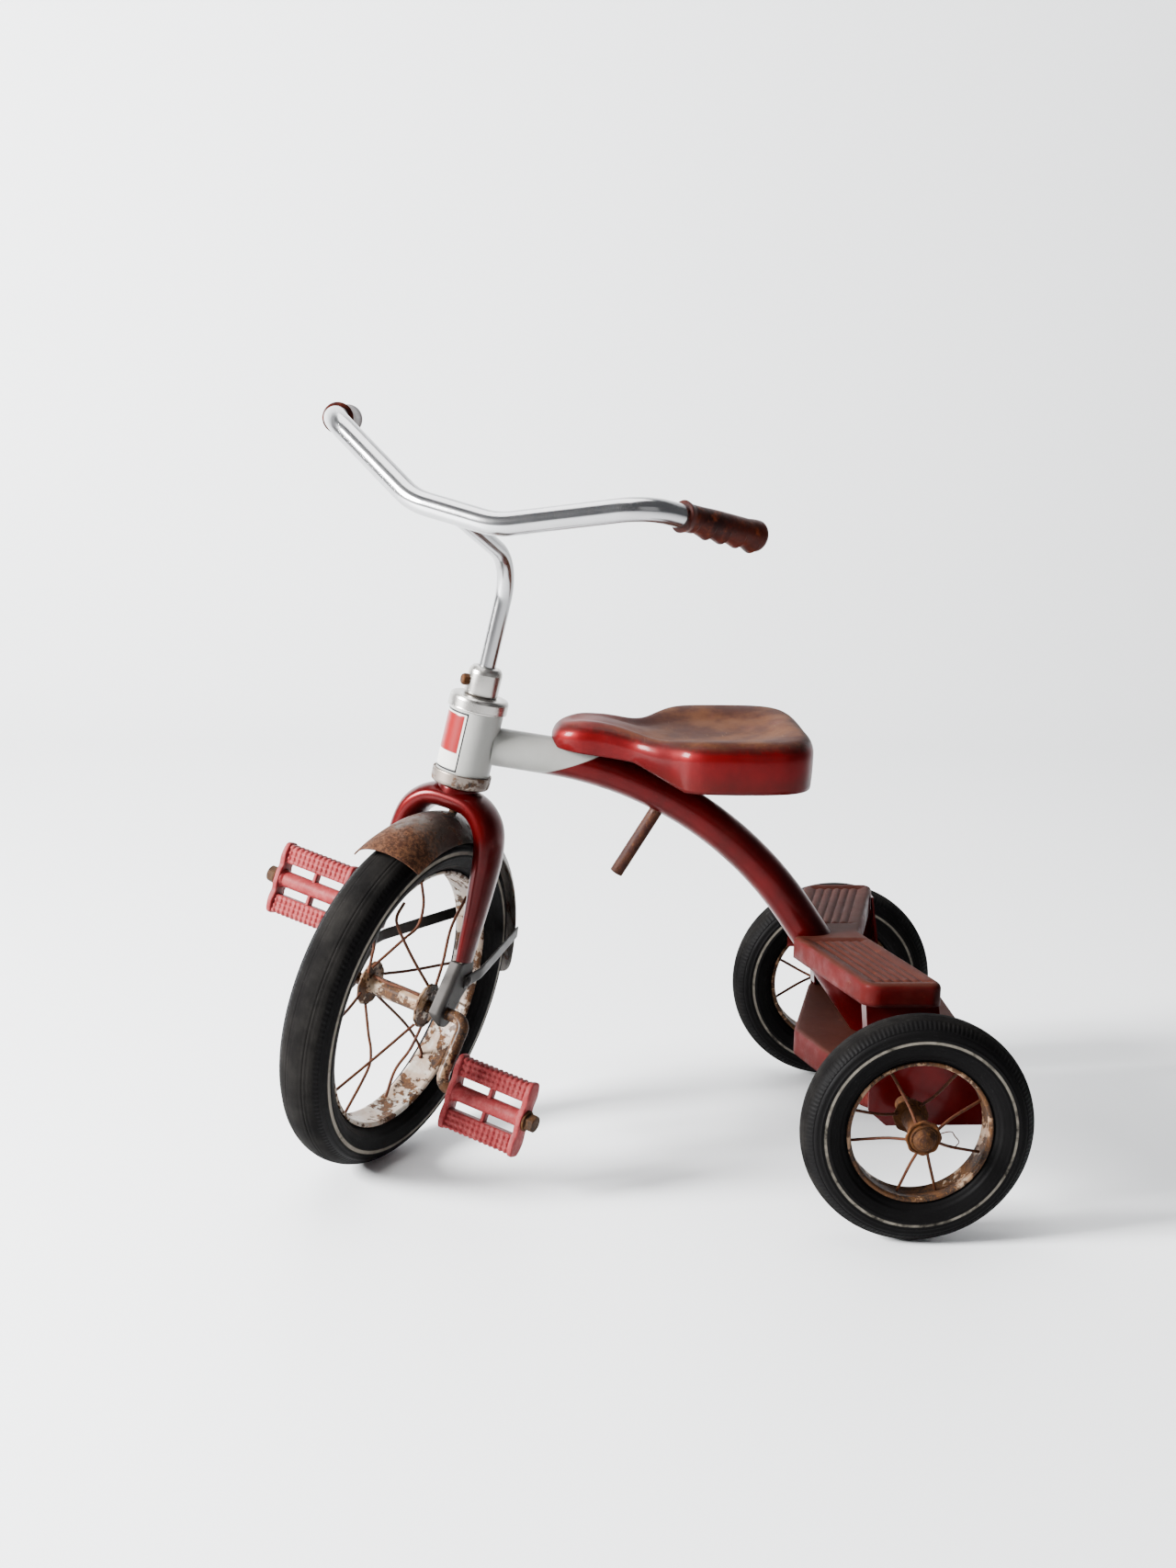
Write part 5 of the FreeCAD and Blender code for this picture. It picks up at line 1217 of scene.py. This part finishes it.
def fork_end_surface(sign):
    """A pressed plate whose front edge turns in: a cross-line at each height from blade to eye.

    Each cross-line runs from the lip's free edge, round the front corner and back along the plate
    to its rear edge. The rear edge follows the rivet's shoulder and then the eye's circle.
    """
    up = np.concatenate([np.linspace(46.0, 0.0, 34), -END_R * np.sin(np.linspace(0, 1.45, 16)[1:])])
    front = np.interp(up, [-END_R, 0.0, 46.0], [-RAKE, -RAKE - END_R, -15.5])
    circle = np.sqrt(np.maximum(END_R ** 2 - np.minimum(up, 0) ** 2, 0))
    front = np.where(up < 0, -RAKE - circle, front)
    rear = np.interp(up, [0.0, 12.0, 22.0, 34.0, 46.0], [-RAKE + END_R, -2.0, 7.0, 8.5, 5.5])
    rear = np.where(up < 0, -RAKE + circle, rear)
    lip = np.where(up < 0, np.maximum(9.0 + up * 0.9, 0.6), 9.0)
    share = np.linspace(0, 1, 22)[None, :]
    turn_in = np.clip(share / 0.35, 0, 1)
    corner = np.clip((share - 0.30) / 0.12, 0, 1) * math.pi / 2
    x = -(1 - turn_in) * lip[:, None] - 3.0 * (1 - np.sin(corner))
    y_front = front[:, None] + 3.0 * (1 - np.cos(corner))
    y = y_front + np.clip((share - 0.42) / 0.58, 0, 1) * (rear[:, None] - front[:, None] - 3.0)
    z = up[:, None] + 0 * share
    return patch(np.stack([sign * (END_X + x), y, z], -1))


def dome(radius, high):
    """A low rivet head: a quarter oval turned about X, closed at its base."""
    angle = np.linspace(0, math.pi / 2, 8)
    rows = np.stack([high * np.sin(angle), radius * np.cos(angle)], 1)
    return lathe(np.concatenate([[[0.0, 0.0]], rows]), 32, closed=False)


rivets = []
for side, sign in SIDES:
    make_piece("fork_end_plate_" + side, [moved(fork_end_surface(sign), steered)], grey_strip,
               "front_fork", ["fork_end_" + side], wall=2.6)
    for base, way in ((sign * (END_X + 2.0), sign), (sign * (END_X - 3.0), -sign)):
        points, quads = dome(5.0, 2.4)
        rivets.append(moved((points * [way, 1, 1] + [base, 0.0, RIVET_UP], quads), steered))
make_piece("fork_end_rivet_heads", rivets, grey_strip, "front_fork", ["fork_end_rivets"])

# ---- fender ------------------------------------------------------------------------
CROWN_R, EDGE_R, FENDER_HALF = 171.6, 152.5, 30.0


def fender_surface():
    """A band round the wheel: across is an arc, and the front lip is bowed and flares a little.

    For share v across from -1 to 1 and angle a behind the head's line: radius is the crown's less
    the arc's sag, and both ends are cut at angles that vary with v.
    """
    v = np.linspace(-1, 1, 37)[None, :]
    front = -(30.0 + 1.8 * (1 - v ** 2) - 0.8 * v)
    rear = 90.5 - 9.0 * np.abs(v) ** 3
    share = np.linspace(0, 1, 90)[:, None]
    a = np.radians(front + (rear - front) * share)
    sag = CROWN_R - EDGE_R
    bend = (FENDER_HALF ** 2 + sag ** 2) / (2 * sag)
    spread = math.atan2(FENDER_HALF, EDGE_R - CROWN_R + bend)
    flare = 1 + 0.07 * bump(share, 0.0, 0.10)
    x = bend * np.sin(spread * v) * flare
    r = CROWN_R - bend * (1 - np.cos(spread * v))
    return patch(np.stack([x + 0 * a, r * np.sin(a), r * np.cos(a)], -1))


make_piece("fender_rolled", [moved(fender_surface(), front_wheel)], fender_finish, "front_fork",
           ["fender"], wall=1.1)

STAY_ANGLE = math.radians(71.0)
for side, sign in SIDES:
    low = np.array([sign * (END_X + 1.0), 0.0, RIVET_UP])
    high = np.array([sign * (FENDER_HALF + 1.6), -RAKE + EDGE_R * math.sin(STAY_ANGLE),
                     EDGE_R * math.cos(STAY_ANGLE)])
    flat_way = unit((high - low) * [0, 1, 1])
    knee = low + flat_way * 24.0
    line = even(rounded([low - flat_way * 5.0, knee, high], [30.0], 8), 4.0)
    across = np.cross(flat_way, X_AXIS)
    make_piece("fender_stay_strip_" + side, [moved(ribbon(line, 11.5, 2.0, across), steered)],
               grey_strip, "front_fork", ["fender_stay_" + side])

# ---- handlebar ---------------------------------------------------------------------
STEM_R, BAR_R = 7.6, 10.2
BAR_MID = np.array([0.0, -118.5, 441.0])
STEM_FOOT = COLLAR_LOW - 44.0
stem_corners = [(0.0, 0.0, STEM_FOOT), (0.0, 0.0, 400.0), BAR_MID]
stem_line = even(rounded(stem_corners, [50.0], 18), 2.5)
GROOVE_TOP = 360.0 - STEM_FOOT
GROOVE_SIDE = math.radians(200.0)


def stem_shape(turn, along):
    """A pressed groove up the lower stem: the radius dips by a bell, and a dimple ends it."""
    off = np.mod(turn - GROOVE_SIDE + math.pi, 2 * math.pi) - math.pi
    channel = bump(off, 0.0, 0.30) * (1 - ease(along, GROOVE_TOP - 6.0, GROOVE_TOP))
    shoulder = bump(np.abs(off), 0.62, 0.22) * (1 - ease(along, GROOVE_TOP - 2.0, GROOVE_TOP + 4.0))
    dimple = bump(off, 0.0, 0.35) * bump(along, GROOVE_TOP + 1.0, 2.5)
    return 1 - 0.24 * channel + 0.05 * shoulder - 0.22 * dimple


make_piece("handlebar_stem_grooved",
           [moved(tube(stem_line, STEM_R, 64, X_AXIS, stem_shape), steered)], chrome, "handlebar",
           ["handlebar_stem"])

left_side = np.array([(41.0, -118.5, 441.0), (154.0, -88.0, 486.0), (208.0, 22.0, 478.0)])
bar_corners = np.concatenate([left_side[::-1] * [-1, 1, 1], left_side])
bar_line = even(rounded(bar_corners, [46.0, 60.0, 60.0, 46.0], 16), 4.0)
make_piece("handlebar_bent_tube", [moved(tube(bar_line, BAR_R, 36, Z_AXIS), steered)], chrome,
           "handlebar", ["handlebar_tube"])

GRIP_LONG, GRIP_DOME_AT = 92.0, 84.0
GRIP_DOWN = math.radians(90.0)       # turn of the ring at the grip's underside


def grip_surface(sign):
    """A moulded grip: lip, waist, four finger hollows beneath and a domed end.

    The radius is a run of bells along the grip; the hollows are dips of the radius below only,
    weighted by how far the ring faces down.
    """
    tip, knee = left_side[2] * [sign, 1, 1], left_side[1] * [sign, 1, 1]
    way = unit(tip - knee)
    mouth = tip - way * (GRIP_LONG - 6.0)
    s = np.concatenate([np.linspace(0, GRIP_DOME_AT, 120),
                        GRIP_DOME_AT + 8.0 * np.sin(np.linspace(0, math.pi / 2, 12))[1:]])
    base = 12.9 - 1.0 * ease(s, 3.0, 8.0) + 0.6 * ease(s, 14.0, 40.0) + 0.9 * ease(s, 70.0, 82.0)
    base = base + 0.9 * (1 - ease(s, 0.0, 5.0)) * (s > 0.6)
    base = base * np.sqrt(np.clip(1 - np.clip((s - GRIP_DOME_AT) / 8.02, 0, 1) ** 2, 0.0009, 1))
    path = mouth + s[:, None] * way

    def shape(turn, along):
        down = np.clip(-np.cos(turn - GRIP_DOWN), 0, 1) ** 1.5
        saw = np.mod(along - 13.0, 17.0) / 17.0
        tooth = np.where((along > 13.0) & (along < 81.0), 0.30 * saw ** 1.3 - 0.12, 0.0)
        return 1 + down * tooth

    return tube(path, base, 48, Z_AXIS, shape)


for side, sign in SIDES:
    make_piece("grip_moulded_" + side, [moved(grip_surface(sign), steered)], rubber_grip,
               "handlebar", ["grip_" + side], sharp=55.0)

# ---- crank and pedals --------------------------------------------------------------
CRANK_R, ARM_X, PEDAL_X, PEDAL_LONG = 5.6, 72.0, 123.0, 76.0
throw = PEDAL_CENTRES["left"] - FRONT_CENTRE - PEDAL_X * AXLE
spindle_end = PEDAL_X + PEDAL_LONG / 2 + 9.0
crank_corners = np.array([FRONT_CENTRE + AXLE * along + throw * side for along, side in (
    (spindle_end, 1), (ARM_X, 1), (ARM_X, 0), (-ARM_X, 0), (-ARM_X, -1), (-spindle_end, -1))])
crank_line = even(rounded(crank_corners, [10.0] * 4, 10), 3.0)
crank_across = np.cross(AXLE, unit(throw))
make_piece("crank_bent_rod", [tube(crank_line, CRANK_R, 28, crank_across)], crank_enamel,
           "front_wheel", ["crank"])

nuts, washers = [], []
for side, sign in SIDES:
    face = PEDAL_CENTRES[side] + AXLE * sign * (PEDAL_LONG / 2 + 0.3)
    put = placed(face, AXLE * sign, UP)
    washer_rows = [(0.0, 5.7), (0.0, 9.4), (2.0, 9.4), (2.0, 5.7)]
    washers.append(moved(lathe(softened(washer_rows, 0.5), 48), put))
    nut_rows = [(2.0, 0.0), (2.0, 7.6), (2.8, 8.0), (9.0, 8.0), (10.0, 7.0), (10.0, 0.0)]
    nuts.append(moved(lathe(softened(nut_rows, 0.4, 3, False), 72, hexagon(14.0), False), put))
make_piece("pedal_washer_rings", washers, rust_brown, "front_wheel", ["pedal_washers"])
make_piece("pedal_hex_nuts", nuts, rust_dark, "front_wheel", ["pedal_nuts"])


def pad_surface(half_long, inner, outer, half_thick, waves):
    """A tread pad: a closed loop of section carried along the spindle's way, bumps on both faces.

    Diamond bumps are the product of two slanting cosines; the outer edge is scalloped by |cos|.
    """
    x = np.linspace(-half_long, half_long, 169)[:, None]
    half_wide = abs(outer - inner) / 2
    loop = softened([(half_wide, -half_thick), (half_wide, half_thick), (-half_wide, half_thick),
                     (-half_wide, -half_thick)], 1.8)
    loop = np.concatenate([loop, loop[:1]])
    loop = even(np.concatenate([loop, 0 * loop[:, :1]], 1), 0.62)[:-1]
    c, s = loop[None, :, 0] / half_wide, loop[None, :, 1] / half_thick
    across = (inner + outer) / 2 + (outer - inner) / 2 * c
    inside = ease(half_long - np.abs(x), 1.0, 4.0)
    on_face = ease(np.abs(s), 0.96, 1.0)
    u, v = x * waves / half_long * math.pi, across * 1.25
    diamonds = np.clip(np.cos((u + v) / 2) * np.cos((u - v) / 2) + 0.15, 0, 1) ** 0.8
    z = s * (half_thick + 1.5 * diamonds * on_face * inside)
    scallop = 1.5 * (np.abs(np.cos(u / 2)) - 0.5) * ease(c, 0.6, 1.0) * inside
    way = math.copysign(1.0, outer)
    return patch(capped(np.stack([x + 0 * c, across + way * scallop, z], -1)), wrap_cols=True)


def end_plate_surface(low, high):
    """A waisted end plate: a figure of eight outline extruded along the spindle's way."""
    t = np.linspace(0, 2 * math.pi, 120, endpoint=False)
    c, s = np.cos(t), np.sin(t)
    y = 34.0 * np.sign(c) * np.abs(c) ** 0.72
    thick = 7.6 + 3.4 * ease(np.abs(y), 8.0, 24.0)
    thick = thick + 2.4 * (1 - ease(np.abs(y), 6.0, 13.0))
    z = thick * np.sign(s) * np.abs(s) ** 0.45
    rings = []
    for x, shrink in ((low, 0.94), (low + 0.5, 0.985), (low + 1.2, 1.0), (high - 1.2, 1.0),
                      (high - 0.5, 0.985), (high, 0.94)):
        rings.append(np.stack([np.full_like(y, x), y * shrink, z * shrink], 1))
    return patch(capped(np.stack(rings)), wrap_cols=True)


def pedal_surfaces(put):
    """Two pads, two end plates, a barrel with collars, and a web that splits the windows."""
    half = PEDAL_LONG / 2
    barrel_rows = [(-half, 5.66), (-half, 9.2), (-half + 6, 9.2), (-half + 8, 7.6), (half - 8, 7.6),
                   (half - 6, 9.2), (half, 9.2), (half, 5.66)]
    web = ribbon([(0.0, -17.0, 0.0), (0.0, 0.0, 0.0), (0.0, 17.0, 0.0)], 4.0, 8.5, X_AXIS)
    pieces = [
        pad_surface(half - 2.5, 15.0, 32.0, 6.4, 14.0),
        pad_surface(half - 2.5, -15.0, -32.0, 6.4, 14.0),
        end_plate_surface(-half, -half + 5.0),
        end_plate_surface(half - 5.0, half),
        lathe(softened(barrel_rows, 1.0), 56),
        web,
    ]
    return [moved(surface, put) for surface in pieces]


for side in ("left", "right"):
    put = placed(PEDAL_CENTRES[side], AXLE, PEDAL_NORMAL)
    make_piece("pedal_moulded_" + side, pedal_surfaces(put), pedal_red, side + "_pedal",
               ["pedal_" + side], sharp=50.0)

# ---- carried-over nodes ------------------------------------------------------------
CARRIED = {
    "rear_axle": rust_brown, "axle_spacers": rust_brown, "axle_washers": rust_brown,
    "seat_bracket": red_frame, "seat_rivets": rust_brown, "head_bush_lower": rust_dark,
    "head_bush_upper": rust_dark, "steerer_tube": rust_dark, "fender_bolt": rust_dark,
    "leg_left": red_legs, "leg_right": red_legs,
}
for name, finish in CARRIED.items():
    NODES[name].data.materials.clear()
    NODES[name].data.materials.append(finish)

# ---- floor, light and camera -------------------------------------------------------
FLOOR_HALF, WALL_AT, COVE_R = 9.0, -2.4, 0.6


def plain(name, colour, rough):
    """A smooth pale studio surface with very faint unevenness."""
    f = Finish(name, specular=0.4)
    shade = f.mixed(f.noise(1.2, 3.0, 0.5), tuple(0.97 * c for c in colour), colour)
    return f.done(shade, rough)


cove = np.linspace(0, math.pi / 2, 14)
curve = np.concatenate([
    np.array([[4.5, 0.0], [2.0, 0.0], [0.0, 0.0], [-1.2, 0.0]]),
    np.stack([WALL_AT + COVE_R - COVE_R * np.sin(cove), COVE_R - COVE_R * np.cos(cove)], 1),
    np.array([[WALL_AT, 2.5], [WALL_AT, 5.0]])])
across = np.linspace(-FLOOR_HALF, FLOOR_HALF, 9)
sweep_points = np.stack(
    np.broadcast_arrays(curve[:, None, 0], across[None, :], curve[:, None, 1]), -1)
points, quads = patch(sweep_points)
floor_mesh = bpy.data.meshes.new("studio_sweep")
floor_mesh.from_pydata((points + [0, 0, -0.0001]).tolist(), [], quads[:, ::-1].tolist())
floor_mesh.polygons.foreach_set("use_smooth", [True] * len(floor_mesh.polygons))
floor_mesh.materials.append(plain("pale studio paper", (0.80, 0.81, 0.82), 0.45))
new_object("studio_sweep", floor_mesh)


def softbox(name, place, target, size, power):
    """A square area light that looks at a target."""
    data = bpy.data.lights.new(name, "AREA")
    data.energy = power
    data.size = size
    lamp = new_object(name, data)
    lamp.location = place
    lamp.rotation_euler = (Vector(target) - Vector(place)).to_track_quat("-Z", "Y").to_euler()


softbox("window_left", (0.9, -3.2, 1.7), (0, 0, 0.25), 1.1, 950.0)
softbox("overhead", (-0.6, -0.5, 3.4), (-0.2, 0, 0.2), 2.4, 120.0)
softbox("front_fill", (3.6, 1.6, 1.6), (0, 0, 0.3), 2.2, 6.0)
backdrop = bpy.data.worlds.new("studio")
bpy.context.scene.world = backdrop
backdrop.use_nodes = True
sky = backdrop.node_tree.nodes["Background"].inputs
sky["Color"].default_value = (0.93, 0.95, 1.0, 1.0)
sky["Strength"].default_value = 0.17

VIEW_TURN, VIEW_RISE, VIEW_ROLL = 85.322, 12.875, -1.26   # degrees
VIEW_DISTANCE = 2.4955
VIEW_TARGET = Vector((-0.3964, -0.23435 + REAR_Y * MM, 0.25668))
VIEW_LENS, VIEW_HEIGHT = 53.69, 36.0                      # millimetres
turn, rise = math.radians(VIEW_TURN), math.radians(VIEW_RISE)
back = Vector((math.sin(turn) * math.cos(rise), -math.cos(turn) * math.cos(rise), math.sin(rise)))
right = (-back).cross(Vector((0, 0, 1))).normalized()
up = right.cross(-back).normalized()
roll = Matrix.Rotation(math.radians(VIEW_ROLL), 3, -back)
right, up = roll @ right, roll @ up
camera_data = bpy.data.cameras.new("camera")
camera_data.sensor_fit = "VERTICAL"
camera_data.sensor_height = VIEW_HEIGHT
camera_data.lens = VIEW_LENS
camera_data.clip_end = 50.0
camera = new_object("camera", camera_data)
camera.matrix_world = Matrix.Translation(VIEW_TARGET + back * VIEW_DISTANCE) @ Matrix(
    (right, up, back)).transposed().to_4x4()
bpy.context.scene.camera = camera
